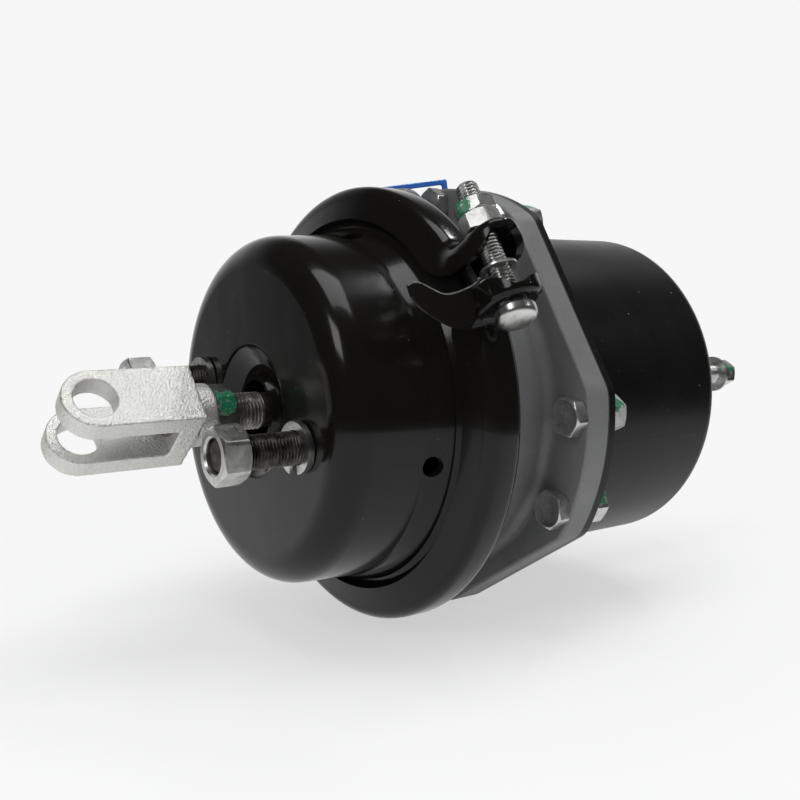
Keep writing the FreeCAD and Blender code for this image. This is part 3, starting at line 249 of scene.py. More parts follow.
# Black gloss paint: thin orange peel, dust and a few rubbed marks
def paintGloss():
    look = {"colour": 0.003, "warm": 0.1, "uneven": 2.2, "dust": 0.10, "roughness": 0.11, "peel": 0.000012,
            "sag": 0.00035, "cloud": (38, 4), "grit": (420, 0.13, 0.035), "powder": (1100, 0.17, 0.02),
            "rubbed": (160, 5, 0.7), "rubbedFrom": (0.66, 0.78), "peelGrain": (620, 2), "sagWave": (24, 2)}
    f = Finish("blackGlossPaint", "black_gloss_paint",
               {"Specular IOR Level": 0.2, "Coat Weight": 0.12, "Coat Roughness": 0.05})
    cloud = f.noise(*look["cloud"])
    dust = f.specks(*look["grit"]) * 0.7 + f.specks(*look["powder"]) * 0.5
    rubbed = f.noise(*look["rubbed"]).step(*look["rubbedFrom"])
    dark, light = (grey(look["colour"] * share, look["warm"]) for share in (1, look["uneven"]))
    paint = f.mix(cloud, dark, light)
    return f.feed(colour=f.mix(dust, paint, grey(look["dust"])),
                  roughness=look["roughness"] + cloud * 0.1 + rubbed * 0.08 + dust * 0.3,
                  normal=paintSkin(f, look))


# Thinner, duller black paint of the spring housing
def paintSatin():
    look = {"colour": 0.003, "uneven": 2, "dust": 0.2, "roughness": 0.27, "peel": 0.00002, "sag": 0.0003,
            "cloud": (55, 4), "grit": (300, 0.12, 0.06), "powder": (900, 0.18, 0.05), "peelGrain": (900, 3),
            "sagWave": (18, 2)}
    f = Finish("blackSatinPaint", "black_satin_paint", {"Specular IOR Level": 0.2})
    cloud = f.noise(*look["cloud"])
    dust = f.specks(*look["grit"]) * 0.8 + f.specks(*look["powder"]) * 0.5
    paint = f.mix(cloud, grey(look["colour"]), grey(look["colour"] * look["uneven"]))
    return f.feed(colour=f.mix(dust, paint, grey(look["dust"])),
                  roughness=look["roughness"] + cloud * 0.12 + dust * 0.3,
                  normal=paintSkin(f, look))


# Pressure cast aluminium with fine grain and darker stains
def castAluminium():
    look = {"dark": (0.098, 0.099, 0.101, 1), "light": (0.245, 0.246, 0.248, 1), "pit": 0.04, "skin": 0.0001,
            "cloud": (45, 5, 0.6), "grain": (1500, 3, 0.6), "fine": (5200, 2), "pits": (700, 0.2, 0.08)}
    f = Finish("castAluminium", "cast_aluminium", {"Specular IOR Level": 0.4})
    cloud = f.noise(*look["cloud"])
    grain = f.noise(*look["grain"])
    pits = f.specks(*look["pits"])
    tone = (cloud * 0.8 + grain * 0.45 - 0.15).clamped()
    return f.feed(colour=f.mix(pits * 0.6, f.mix(tone, look["dark"], look["light"]), grey(look["pit"])),
                  metallic=0.2 + cloud * 0.3,
                  roughness=0.42 + grain * 0.16,
                  normal=f.bump(grain + f.noise(*look["fine"]) * 0.5, look["skin"]))


# Bright zinc plate with soft stains, fine scratches and dabs of green paint over some nuts
def zincPlate():
    look = {"bright": (0.66, 0.66, 0.645, 1), "dull": (0.46, 0.46, 0.45, 1), "stain": (0.12, 0.11, 0.10, 1),
            "dab": (0.004, 0.125, 0.055, 1), "ragged": 0.009, "dabEdge": 0.0006, "skin": 0.00002,
            "cloud": (260, 4), "cloudFrom": (0.3, 0.7), "scratch": (90, 3), "along": (18, 1.5, 1.5),
            "scratchFrom": (0.58, 0.72), "stained": (420, 5, 0.65), "stainedFrom": (0.60, 0.80),
            "raggedNoise": (380, 5, 0.7), "thin": (700, 4, 0.7), "thinFrom": (0.34, 0.46), "grain": (1400, 3)}
    f = Finish("zincPlate", "zinc_plate", {})
    cloud = f.noise(*look["cloud"])
    scratch = f.noise(*look["scratch"], place=f.stretched(look["along"])).step(*look["scratchFrom"])
    stain = f.noise(*look["stained"]).step(*look["stainedFrom"])
    clean = f.mix(cloud.step(*look["cloudFrom"]), look["dull"], look["bright"])
    metal = f.mix(stain * 0.6, clean, look["stain"])
    edge = f.noise(*look["raggedNoise"]) * look["ragged"] - look["ragged"] / 2
    dab = None
    for point, radius in paintDabs():
        near = (f.distance(point) + edge).step(radius, radius - look["dabEdge"])
        dab = dab.most(near) if dab else near
    dab = dab * f.noise(*look["thin"]).step(*look["thinFrom"])
    return f.feed(colour=f.mix(dab, metal, look["dab"]),
                  metallic=(1.0 - stain * 0.3) * (1.0 - dab),
                  roughness=0.22 + cloud * 0.16 + stain * 0.2 - scratch * 0.04,
                  normal=f.bump(f.noise(*look["grain"]) + scratch * 0.3, look["skin"]))


# Galvanised forging: gritty skin, bright high spots and grey hollows
def galvanised():
    look = {"bright": (0.88, 0.875, 0.84, 1), "dull": (0.52, 0.515, 0.49, 1), "skin": 0.00036,
            "grain": (1150, 4, 0.66), "lumps": 1300, "cloud": (120, 3)}
    f = Finish("galvanisedForging", "galvanised_forging", {"Specular IOR Level": 0.5})
    skin = f.noise(*look["grain"])
    lumps = f.cells(look["lumps"], "SMOOTH_F1")
    cloud = f.noise(*look["cloud"])
    high = (skin * 1.3 + cloud * 0.5 - 0.4).clamped()
    return f.feed(colour=f.mix(high, look["dull"], look["bright"]),
                  metallic=0.72 + cloud * 0.2,
                  roughness=0.32 + skin * 0.14,
                  normal=f.bump(skin + lumps * 0.5, look["skin"]))


# Oiled steel: dark on the studs, brighter on the rod in the middle
def blackOxide():
    look = {"dark": (0.020, 0.017, 0.015, 1), "rubbed": (0.12, 0.11, 0.10, 1),
            "bright": (0.36, 0.35, 0.33, 1), "rod": 0.012, "rodEdge": 0.001, "skin": 0.00001,
            "cloud": (300, 4), "wornFrom": (0.35, 0.75), "grain": (1500, 2)}
    f = Finish("blackOxide", "black_oxide", {})
    cloud = f.noise(*look["cloud"])
    radius = f.node("ShaderNodeVectorMath", {"operation": "LENGTH"}, {0: f.stretched((0, 1, 1))}, "Value")
    rod = radius.step(look["rod"] + look["rodEdge"], look["rod"])
    worn = cloud.step(*look["wornFrom"])
    stud = f.mix(worn, look["dark"], look["rubbed"])
    shank = f.mix(worn, look["rubbed"], look["bright"])
    return f.feed(colour=f.mix(rod, stud, shank),
                  metallic=0.75 + cloud * 0.2,
                  roughness=0.3 + cloud * 0.15,
                  normal=f.bump(f.noise(*look["grain"]), look["skin"]))


# Turned and ground steel inside the chamber
def bareSteel():
    look = {"dark": (0.30, 0.295, 0.29, 1), "bright": (0.47, 0.46, 0.45, 1), "skin": 0.00003,
            "cloud": (180, 4), "turning": (700, 2), "round": (6, 0.6, 0.6)}
    f = Finish("bareSteel", "bare_steel", {})
    cloud = f.noise(*look["cloud"])
    turning = f.noise(*look["turning"], place=f.stretched(look["round"]))
    return f.feed(colour=f.mix(cloud, look["dark"], look["bright"]),
                  metallic=0.92 + cloud * 0.06,
                  roughness=0.26 + turning * 0.18,
                  normal=f.bump(turning, look["skin"]))


# Painted spring wire with chips down to the steel
def springSteel():
    look = {"dark": (0.03, 0.03, 0.034, 1), "light": (0.07, 0.07, 0.075, 1),
            "chip": (0.22, 0.2, 0.18, 1), "skin": 0.00003, "cloud": (220, 4), "chips": (900, 5, 0.7),
            "chipsFrom": (0.72, 0.8), "grain": (1200, 3)}
    f = Finish("springSteel", "spring_steel", {"Specular IOR Level": 0.5})
    cloud = f.noise(*look["cloud"])
    chips = f.noise(*look["chips"]).step(*look["chipsFrom"])
    return f.feed(colour=f.mix(chips, f.mix(cloud, look["dark"], look["light"]), look["chip"]),
                  metallic=chips * 0.6 + 0.1,
                  roughness=0.36 + cloud * 0.14,
                  normal=f.bump(f.noise(*look["grain"]), look["skin"]))


def brassBush():
    look = {"dark": (0.42, 0.29, 0.11, 1), "bright": (0.66, 0.48, 0.21, 1), "skin": 0.00002,
            "cloud": (400, 4), "grain": (1500, 2)}
    f = Finish("brassBush", "brass_bush", {})
    cloud = f.noise(*look["cloud"])
    return f.feed(colour=f.mix(cloud, look["dark"], look["bright"]),
                  metallic=0.9 + cloud * 0.08,
                  roughness=0.3 + cloud * 0.2,
                  normal=f.bump(f.noise(*look["grain"]), look["skin"]))


# Moulded rubber with the weave of its fabric in rings
def blackRubber():
    look = {"dark": grey(0.012), "light": grey(0.035, 0.03), "weave": 260.0, "wander": 0.4, "skin": 0.00004,
            "cloud": (90, 5), "grain": (1800, 2)}
    f = Finish("blackRubber", "black_rubber", {"Specular IOR Level": 0.35})
    cloud = f.noise(*look["cloud"])
    weave = f.node("ShaderNodeTexWave", {"wave_type": "RINGS", "rings_direction": "X"},
                   {"Vector": f.place, "Scale": look["weave"], "Distortion": look["wander"]}, "Fac")
    return f.feed(colour=f.mix(cloud, look["dark"], look["light"]),
                  roughness=0.55 + cloud * 0.2,
                  normal=f.bump(weave * 0.4 + f.noise(*look["grain"]), look["skin"]))


def plastic(name, slot, look):
    f = Finish(name, slot, {"Specular IOR Level": look["specular"]})
    cloud = f.noise(*look["cloud"])
    return f.feed(colour=f.mix(cloud, look["dark"], look["light"]),
                  roughness=look["roughness"] + cloud * look["uneven"],
                  normal=f.bump(f.noise(*look["grain"]), look["skin"]))


def bluePlastic():
    return plastic("bluePlastic", "blue_plastic", {
        "dark": (0.012, 0.10, 0.42, 1), "light": (0.022, 0.16, 0.58, 1), "specular": 0.5, "cloud": (150, 3),
        "roughness": 0.28, "uneven": 0.12, "grain": (700, 2), "skin": 0.00003})


def blackPlastic():
    return plastic("blackPlastic", "black_plastic", {
        "dark": grey(0.012), "light": grey(0.03), "specular": 0.4, "cloud": (200, 4),
        "roughness": 0.5, "uneven": 0.15, "grain": (2600, 2), "skin": 0.00003})


finishes = {f.slot: f for f in (
    paintGloss(), paintSatin(), castAluminium(), zincPlate(), galvanised(), blackOxide(), bareSteel(),
    springSteel(), brassBush(), blackRubber(), bluePlastic(), blackPlastic())}
slots = {entry["node"]: entry["material_slot"] for entry in frame["record"]["subparts"]}
for name, node in nodes.items():
    node.data.materials.clear()
    node.data.materials.append(finishes[slots[name]].material)
print("finishes made:", len(finishes))


# Meshes of the pieces that show more than the solids do
class Build:
    # collects vertices in millimetres and faces
    def __init__(self):
        self.verts = []
        self.faces = []

    def rings(self, rings, closed=False, capStart=True, capEnd=True):
        # rings of equal length become a tube
        count = len(rings[0])
        first = len(self.verts)
        for ring in rings:
            self.verts += ring
        for i in range(len(rings) if closed else len(rings) - 1):
            a = first + i * count
            b = first + (i + 1) % len(rings) * count
            for j in range(count):
                k = (j + 1) % count
                self.faces.append((a + j, a + k, b + k, b + j))
        for start, capped in ((first, capStart), (first + (len(rings) - 1) * count, capEnd)):
            if capped and not closed:
                self.faces.append(tuple(range(start, start + count)))

    def lathe(self, profile, place=onAxis, count=64, capStart=True, capEnd=True):
        # profile of (x, radius) turned about X; a point on the axis keeps a tiny ring until the weld
        tiny = 1e-4
        rings = [[place @ polar(max(radius, tiny), 360.0 * j / count, x) for j in range(count)]
                 for x, radius in profile]
        self.rings(rings, False, capStart, capEnd)

    def thread(self, start, end, kind, place=onAxis, count=36):
        # a threaded rod about X: rings whose radius follows a rounded vee that turns with the clock
        shape = {"steps": 8, "lead": 1.2, "slope": 1.35, "crest": 0.15, "tip": 1.3}
        radius, depth, pitch = (threads[kind][key] for key in ("radius", "depth", "pitch"))
        tip = depth * shape["tip"]
        rings = []
        total = max(shape["steps"], int(abs(end - start) / pitch * shape["steps"]))
        for i in range(total + 1):
            x = start + (end - start) * i / total
            left = abs(end - x)
            fade = min(1.0, abs(x - start) / shape["lead"])
            ring = []
            for j in range(count):
                phase = (x / pitch - j / count) % 1.0
                vee = min(1.0, max(0.0, abs(phase * 2 - 1) * shape["slope"] - shape["crest"]))
                r = radius - depth * (1 - vee) * fade
                if left < tip:
                    r = min(r, radius - tip + left)
                ring.append(place @ polar(r, 360.0 * j / count, x))
            rings.append(ring)
        self.rings(rings)

    def piece(self, name, slot, body, stands=(), smooth=35.0):
        weld = 0.000001
        mesh = bpy.data.meshes.new(name)
        mesh.from_pydata([tuple(Vector(v) * mm) for v in self.verts], [], self.faces)
        build = bmesh.new()
        build.from_mesh(mesh)
        bmesh.ops.remove_doubles(build, verts=build.verts, dist=weld)
        bmesh.ops.recalc_face_normals(build, faces=build.faces)
        build.to_mesh(mesh)
        build.free()
        mesh.shade_smooth()
        mesh.set_sharp_from_angle(angle=math.radians(smooth))
        piece = bpy.data.objects.new(name, mesh)
        bpy.context.scene.collection.objects.link(piece)
        mesh.materials.append(finishes[slot].material)
        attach(piece, body)
        if stands:
            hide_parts(*stands)
        return piece


# Mounting studs with rolled threads, their heads inside the pot
def makeStuds():
    size = {"tip": 31.8, "headRadius": 9.5, "head": 4.0, "edge": 0.6, "wall": 3.0, "undercut": 0.1,
            "neckEnd": 1.2, "threadStart": 1.0}
    b = Build()
    neck = threads["stud"]["radius"] - size["undercut"]
    head = size["headRadius"]
    back = -size["wall"] - size["head"]
    for clock in (layout["studClock"], layout["studClock"] + 180):
        place = along(polar(layout["studSpacing"] / 2, clock))
        b.lathe([(back, 0), (back, head - size["edge"]), (back + size["edge"], head), (-size["wall"], head),
                 (-size["wall"], neck), (size["neckEnd"], neck)], place, capEnd=False)
        b.thread(size["threadStart"], size["tip"], "stud", place)
    b.piece("threadedStuds", "black_oxide", "chamber", ["mounting_studs"])


# Push rod: riveted foot, rolled shank and threaded end
def makeRod():
    size = {"foot": 10.0, "footEnd": 4.0, "taperEnd": 8.0, "shank": 6.5, "back": -67.0, "start": -3.0,
            "end": 35.0, "undercut": 0.2, "shoulder": 0.6, "threadStart": 0.8, "neckEnd": 1.0}
    b = Build()
    back = size["back"]
    start = size["start"]
    neck = threads["rod"]["radius"] - size["undercut"]
    b.lathe([(back, 0), (back, size["foot"]), (back + size["footEnd"], size["foot"]),
             (back + size["taperEnd"], size["shank"]), (start, size["shank"]),
             (start + size["shoulder"], neck), (start + size["neckEnd"], neck)], capEnd=False)
    b.thread(start + size["threadStart"], size["end"], "rod", count=48)
    b.piece("threadedRod", "black_oxide", "push_rod_body", ["push_rod"])


# Forged clevis: two eyes on a root block with a round neck, all edges soft
def makeClevis():
    size = {"pin": 62.0, "half": 11.4, "inner": 7.0, "outer": 15.0, "back": 26.0, "root": 33.5, "hole": 7.3,
            "neck": 11.3, "neckBack": 18.0, "neckEdge": 0.6, "neckInside": 2, "voxel": 0.5, "smooth": 7}
    turn = Matrix.Rotation(math.radians(layout["clevisClock"]), 4, "X")
    b = Build()
    half = size["half"]
    neck = size["neck"]
    reach = size["pin"] - size["back"]
    corner = math.degrees(math.atan2(half, -reach))
    angles = sorted([5.0 * k for k in range(72)] + [corner, 360 - corner])
    for near, far in ((size["inner"], size["outer"]), (-size["outer"], -size["inner"])):
        rings = []
        for a in map(math.radians, angles):
            ahead, up = (math.cos(a), math.sin(a))
            edge = half if ahead >= 0 else min(half / max(abs(up), 1e-6), reach / -ahead)
            section = ((edge, near), (edge, far), (size["hole"], far), (size["hole"], near))
            rings.append([turn @ Vector((size["pin"] + ahead * r, y, up * r)) for r, y in section])
        b.rings(rings, closed=True)
    square = ((-1, -1), (1, -1), (1, 1), (-1, 1))
    b.rings([[turn @ Vector((x, y * size["outer"], z * half)) for y, z in square]
             for x in (size["back"], size["root"])])
    b.lathe([(size["neckBack"], neck - size["neckEdge"]), (size["neckBack"] + size["neckEdge"], neck),
             (size["back"] + size["neckInside"], neck)])
    piece = b.piece("forgedClevis", "galvanised_forging", "clevis_body", ["clevis"])
    grid = piece.modifiers.new("skin", "REMESH")
    grid.mode = "VOXEL"
    grid.voxel_size = size["voxel"] * mm
    grid.use_smooth_shade = True
    soft = piece.modifiers.new("soft", "SMOOTH")
    soft.iterations = size["smooth"]


# Clamp band: a channel swept round the lips, turned up into a hollow ear at each end
def makeClampBand():
    size = {"middle": -51.5, "crest": 84.6, "thick": 2.6, "depth": 12.6, "crestHalf": 6.4, "footHalf": 9.85,
            "corner": 4.5, "earHalf": 10.0, "tipCorner": 2.2, "rim": 0.5, "rimAngle": 50, "nearSpan": 55,
            "leastBend": 0.4, "leastWall": 0.2}
    upper = {"outer": 20.2, "sign": -1, "valley": 9.5, "near": 9.6, "tip": 2.9, "far": 10.4, "corner": 4.4,
             "reach": 11.2, "farSpan": 72}
    lower = {"outer": -7.7, "sign": 1, "valley": 3.3, "near": 8.6, "tip": 3.0, "far": 7.8, "corner": 2.6,
             "reach": 11.6, "farSpan": 112}
    steps = {"wall": 5, "bend": 6, "web": 6, "valley": 16, "band": 120, "cap": 36}
    clock = clampTurn()
    bolt = layout["clampHeight"]
    thick = size["thick"]
    crest = size["crest"]
    whole = size["depth"]
    b = Build()

    def side(depth, inset, widen, corner):
        # (half width, depth) along one wall, from its free edge up and over the corner
        def between(first, last):
            return size[first] + (size[last] - size[first]) * widen

        top = between("crestHalf", "earHalf")
        foot = between("footHalf", "earHalf")
        bend = max(size["corner"] + (corner - size["corner"]) * widen - inset, size["leastBend"])
        base = inset + bend
        depth = max(depth, base + size["leastWall"])
        points = []
        for k in range(steps["wall"]):
            d = depth + (base - depth) * k / steps["wall"]
            points.append((top + (foot - top) * d / whole - inset, d))
        width = top + (foot - top) * base / whole - inset - bend
        for k in range(steps["bend"]):
            a = math.radians(90 * k / (steps["bend"] - 1))
            points.append((width + bend * math.cos(a), base - bend * math.sin(a)))
        return points

    def station(y, z, inY, inZ, near, far, widen, corner):
        # a cross section at (y, z) whose walls point along (inY, inZ)
        outer = side(near, 0, widen, corner)
        inner = side(near, thick, widen, corner)
        farOuter = [(-x, d) for x, d in side(far, 0, widen, corner)]
        farInner = [(-x, d) for x, d in side(far, thick, widen, corner)]
        flat = outer + [(0, 0)] + farOuter[::-1] + farInner + [(0, thick)] + inner[::-1]
        return [clock @ Vector((size["middle"] + x, y + inY * d, z + inZ * d)) for x, d in flat]

    def earEnd(ear):
        # from the bolt back to the band: straight web, then the valley
        sign, valley, corner = (ear["sign"], ear["valley"], ear["corner"])
        centreZ = ear["outer"] - sign * valley
        centreY = math.sqrt((crest + valley) ** 2 - centreZ ** 2)
        rings = []
        for k in range(steps["web"]):
            y = bolt + (centreY - bolt) * k / steps["web"]
            rings.append(station(y, ear["outer"], 0, sign, ear["near"], ear["far"], 1, corner))
        first = math.atan2(sign, 0)
        last = math.atan2(-centreZ, -centreY)
        turn = (last - first + math.pi) % (2 * math.pi) - math.pi
        for k in range(steps["valley"]):
            part = k / steps["valley"]
            a = first + turn * k / steps["valley"]
            inY, inZ = (math.cos(a), math.sin(a))
            share = 3 * part ** 2 - 2 * part ** 3
            near, far = (ear[name] + (whole - ear[name]) * share for name in ("near", "far"))
            y, z = (centreY + inY * valley, centreZ + inZ * valley)
            rings.append(station(y, z, inY, inZ, near, far, 1 - share, corner))
        return rings, math.degrees(math.atan2(centreZ, centreY))

    def earCap(ear):
        # the rounded end of an ear, turned about the bolt: both walls run out to a low rim at the tip
        rings = []
        reach = ear["reach"] / size["earHalf"]
        for k in range(steps["cap"] + 1):
            a = 5.0 * k
            near = a < 90
            wall = ear["near" if near else "far"]
            away = a / size["nearSpan"] if near else (180 - a) / ear["farSpan"]
            share = max(0.0, 1 - away ** 2)
            depth = ear["tip"] + (wall - ear["tip"]) * share
            corner = size["tipCorner"] + (ear["corner"] - size["tipCorner"]) * share
            flat = side(depth, 0, 1, corner) + [(0, 0), (0, thick)] + side(depth, thick, 1, corner)[::-1]
            turned = math.radians(a)
            rings.append([clock @ Vector((size["middle"] + x * math.cos(turned),
                                          bolt + x * math.sin(turned) * reach,
                                          ear["outer"] + ear["sign"] * d)) for x, d in flat])
        return rings

    upperRings, upperClock = earEnd(upper)
    lowerRings, lowerClock = earEnd(lower)
    band = []
    for k in range(steps["band"] + 1):
        a = math.radians(upperClock + (360 + lowerClock - upperClock) * k / steps["band"])
        y, z = (math.cos(a), math.sin(a))
        band.append(station(crest * y, crest * z, -y, -z, whole, whole, 0, size["corner"]))
    for rings in (upperRings + band + lowerRings[::-1], earCap(upper), earCap(lower)):
        b.rings(rings, capStart=False, capEnd=False)
    piece = b.piece("clampBand", "black_gloss_paint", "chamber", ["clamp_ring"], smooth=40)
    bevel = piece.modifiers.new("bevel", "BEVEL")
    bevel.width = size["rim"] * mm
    bevel.segments = 2
    bevel.limit_method = "ANGLE"
    bevel.angle_limit = math.radians(size["rimAngle"])
    bevel.harden_normals = True


# Identification tag, left bare: black face, bright cut edge, and a ring round the clamp bolt
def makeTag():
    size = {"thick": 0.9, "drop": 12.5, "least": 1.0, "edge": 0.6, "faceBelow": 0.2, "rimOver": 0.1,
            "tipRound": 8, "tipPast": 0.3, "earRound": 5, "earPoint": 2, "smoothing": 6,
            "ringIn": 4.5, "ringOut": 6.6, "ringLow": 5.0, "ringEdge": 0.15, "ringRise": 0.5}
    edgePath = ((-46.9, 90.9, 5.4), (-44.0, 90.0, 3.9), (-40.7, 89.5, 2.2), (-35.3, 88.0, 0.8),
                (-30.9, 87.0, 0.7), (-27.3, 86.3, 2.9), (-23.5, 86.0, 5.3), (-20.8, 86.0, 5.7),
                (-18.0, 86.0, 4.6))
    clock = clampTurn()
    path = [Vector(p) for p in edgePath]
    last = len(path) - 1
    points = []
    for k in range(last):
        before, here, there, after = (path[max(0, k - 1)], path[k], path[k + 1], path[min(last, k + 2)])
        for i in range(size["smoothing"]):
            u = i / size["smoothing"]
            points.append(0.5 * (2 * here + (there - before) * u
                                 + (2 * before - 5 * here + 4 * there - after) * u ** 2
                                 + (3 * here - before - 3 * there + after) * u ** 3))
    points.append(path[last])

    def strip(b, above, drops, thick):
        # a wall under the path, from above it down by each drop
        rings = []
        for i, point in enumerate(points):
            way = points[min(i + 1, len(points) - 1)] - points[max(i - 1, 0)]
            across = Vector((-way.y, way.x, 0)).normalized() * thick / 2
            top = point + Vector((0, 0, above))
            low = point - Vector((0, 0, drops[i]))
            rings.append([clock @ v for v in (top - across, top + across, low + across, low - across)])
        b.rings(rings)

    def quarter(share):
        # how far a quarter circle has come down after that share of its way
        return 1 - (1 - min(1.0, max(0.0, share))) ** 2

    drops = []
    for point in points:
        fromTip = quarter((path[last].x + size["tipPast"] - point.x) / size["tipRound"])
        fromEar = quarter((point.x - path[size["earPoint"]].x) / size["earRound"])
        drops.append(size["least"] + (size["drop"] - size["least"]) * math.sqrt(fromTip * fromEar))
    face = Build()
    strip(face, -size["faceBelow"], drops, size["thick"])
    face.piece("tagFace", "black_gloss_paint", "chamber", ["identification_tag"])
    rim = Build()
    strip(rim, 0.0, [size["edge"]] * len(points), size["thick"] + size["rimOver"])
    low, edge, inside, outside = (size[key] for key in ("ringLow", "ringEdge", "ringIn", "ringOut"))
    high = low + size["thick"]
    ring = [(low, inside), (low, outside - edge), (low + edge, outside), (high - edge, outside),
            (high, outside - edge), (high, inside)]
    place = clampPlace() @ Matrix.Translation((size["ringRise"], 0, 0))
    rim.rings([[place @ polar(radius, 7.5 * j, x) for j in range(48)] for x, radius in ring], closed=True)
    rim.piece("tagRim", "zinc_plate", "chamber")


# Clamp bolt with a round flanged head that nods a little from the bolt's axis
def makeClampBolt():
    size = {"seat": -9.8, "tip": 38.8, "flange": 7.3, "head": 4.6, "neck": 5.4, "web": -7.6,
            "nod": (1, -0.11, 0.10), "undercut": 0.05, "inHead": 0.6, "bare": 3.0, "threadStart": 2.8,
            # the head's outline: how far above its end, and how far inside the flange's radius
            "outline": ((0, 2.2), (0.3, 1.4), (1.0, 0.5), (2.0, 0.1), (4.0, 0), (4.6, 0.4))}
    b = Build()
    place = clampPlace()
    seat, flange, neck, web = (size[key] for key in ("seat", "flange", "neck", "web"))
    end = seat - size["head"]
    nod = facing(Vector(size["nod"]).normalized())
    tilted = place @ Matrix.Translation((seat, 0, 0)) @ nod @ Matrix.Translation((-seat, 0, 0))
    outline = [(end + above, flange - inside) for above, inside in size["outline"]]
    b.lathe([(end, 0)] + outline + [(seat, neck)], tilted, capEnd=False)
    shank = threads["small"]["radius"] - size["undercut"]
    b.lathe([(seat - size["inHead"], neck), (web, neck), (web, shank), (web + size["bare"], shank)],
            place, capEnd=False)
    b.thread(web + size["threadStart"], size["tip"], "small", place, count=32)
    b.piece("threadedClampBolt", "zinc_plate", "chamber", ["clamp_bolt"])


def hexRings(start, end, width, place, spin=0.0, bore=None):
    # hexagonal prism about X, its corners turned down at both ends; rings from one face to the other
    # and, where there is a bore, back through it
    shape = {"face": 0.97, "fall": 0.62, "sink": 0.7, "steps": 5, "count": 72}
    flat = width / 2
    face = flat * shape["face"]
    corner = flat / math.cos(math.radians(30))
    drop = (corner - flat) * shape["fall"]
    sink = shape["sink"]

    def ring(x, limit):
        points = []
        for j in range(shape["count"]):
            angle = 360.0 * j / shape["count"]
            reach = flat / math.cos(math.radians((angle - spin) % 60 - 30))
            points.append(place @ polar(min(reach, limit), angle, x))
        return points

    shares = [i / shape["steps"] for i in range(shape["steps"] + 1)]
    rings = [ring(start + drop * t, face + (corner - face) * t) for t in shares]
    rings += [ring(end - drop * (1 - t), face + (corner - face) * (1 - t)) for t in shares]
    if bore:
        rings += [ring(end, bore + sink), ring(end - sink, bore), ring(start + sink, bore),
                  ring(start, bore + sink)]
    return rings


# Hexagon nuts with turned faces and countersunk threads; each spin turns one nut
def makeNuts():
    nuts = {
        "studNuts": {"node": "stud_nuts", "body": "chamber", "width": 18.0, "bore": 5.97,
                     "start": 23.5, "end": 33.5, "spins": (33, 22)},
        "clevisLockNut": {"node": "clevis_lock_nut", "body": "push_rod_body", "width": 19.0, "bore": 6.98,
                          "start": 10.0, "end": 18.0, "spins": (42,)},
        "clampNut": {"node": "clamp_nut", "body": "chamber", "width": 13.0, "bore": 3.97,
                     "start": 20.2, "end": 26.7, "spins": (44,)},
        "clampLockNut": {"node": "clamp_lock_nut", "body": "chamber", "width": 13.0, "bore": 3.97,
                         "start": 26.7, "end": 31.7, "spins": (33,)},
    }
    half = layout["studSpacing"] / 2
    places = {
        "studNuts": [along(polar(half, layout["studClock"] + turn)) for turn in (0, 180)],
        "clevisLockNut": [onAxis], "clampNut": [clampPlace()], "clampLockNut": [clampPlace()],
    }
    for name, nut in nuts.items():
        b = Build()
        for place, spin in zip(places[name], nut["spins"]):
            b.rings(hexRings(nut["start"], nut["end"], nut["width"], place, spin, nut["bore"]), closed=True)
        b.piece(name, "zinc_plate", nut["body"], [nut["node"]], smooth=24)


# Flange bolts through casting and housing, with their nuts behind
def makeFlangeBolts():
    size = {"seat": -87.7, "head": 5.3, "width": 13.0, "grip": 13.6, "nut": 6.5, "tail": 2.6, "bore": 3.97,
            "undercut": 0.05, "bare": 0.5, "threadStart": 0.3, "spins": (38, 51, 77, 33, 61, 42, 85, 56)}
    bolts = Build()
    nuts = Build()
    seat = size["seat"]
    nutSeat = seat - size["grip"]
    nutEnd = nutSeat - size["nut"]
    shank = threads["small"]["radius"] - size["undercut"]
    for clock, spin, nutSpin in zip(boltClocks(), size["spins"], size["spins"][::-1]):
        place = along(polar(layout["boltCircle"], clock))
        bolts.rings(hexRings(seat, seat + size["head"], size["width"], place, spin))
        bolts.lathe([(seat, shank), (nutSeat - size["bare"], shank)], place, count=32)
        bolts.thread(nutSeat - size["threadStart"], nutEnd - size["tail"], "small", place, count=28)
        nuts.rings(hexRings(nutEnd, nutSeat, size["width"], place, nutSpin, size["bore"]), closed=True)
    bolts.piece("flangeBolts", "zinc_plate", "chamber", ["flange_bolts"], smooth=24)
    nuts.piece("flangeNuts", "zinc_plate", "chamber", ["flange_nuts"], smooth=24)


# Release bolt, wound out: hook inside the tube, long thread, and a neck under the hexagon
def makeReleaseBolt():
    size = {"hook": -160.95, "hookRadius": 9.4, "hookHeight": 5.0, "edge": 0.6, "undercut": 0.1, "bare": 6,
            "threadStart": 5.8, "seat": -271.1, "neck": 3.3, "neckInside": 0.5, "end": -281.1}
    b = Build()
    hook, wide, edge = (size[key] for key in ("hook", "hookRadius", "edge"))
    seat, neck, end = (size[key] for key in ("seat", "neck", "end"))
    top = hook + size["hookHeight"]
    shank = threads["release"]["radius"] - size["undercut"]
    b.lathe([(top, 0), (top, wide - edge), (top - edge, wide), (hook, wide), (hook, shank),
             (hook - size["bare"], shank)], capEnd=False)
    b.thread(hook - size["threadStart"], seat, "release", count=32)
    b.lathe([(seat + size["neckInside"], neck), (end + edge, neck), (end, neck - edge)], count=32)
    b.piece("threadedReleaseBolt", "zinc_plate", "release_bolt_body", ["release_bolt"])


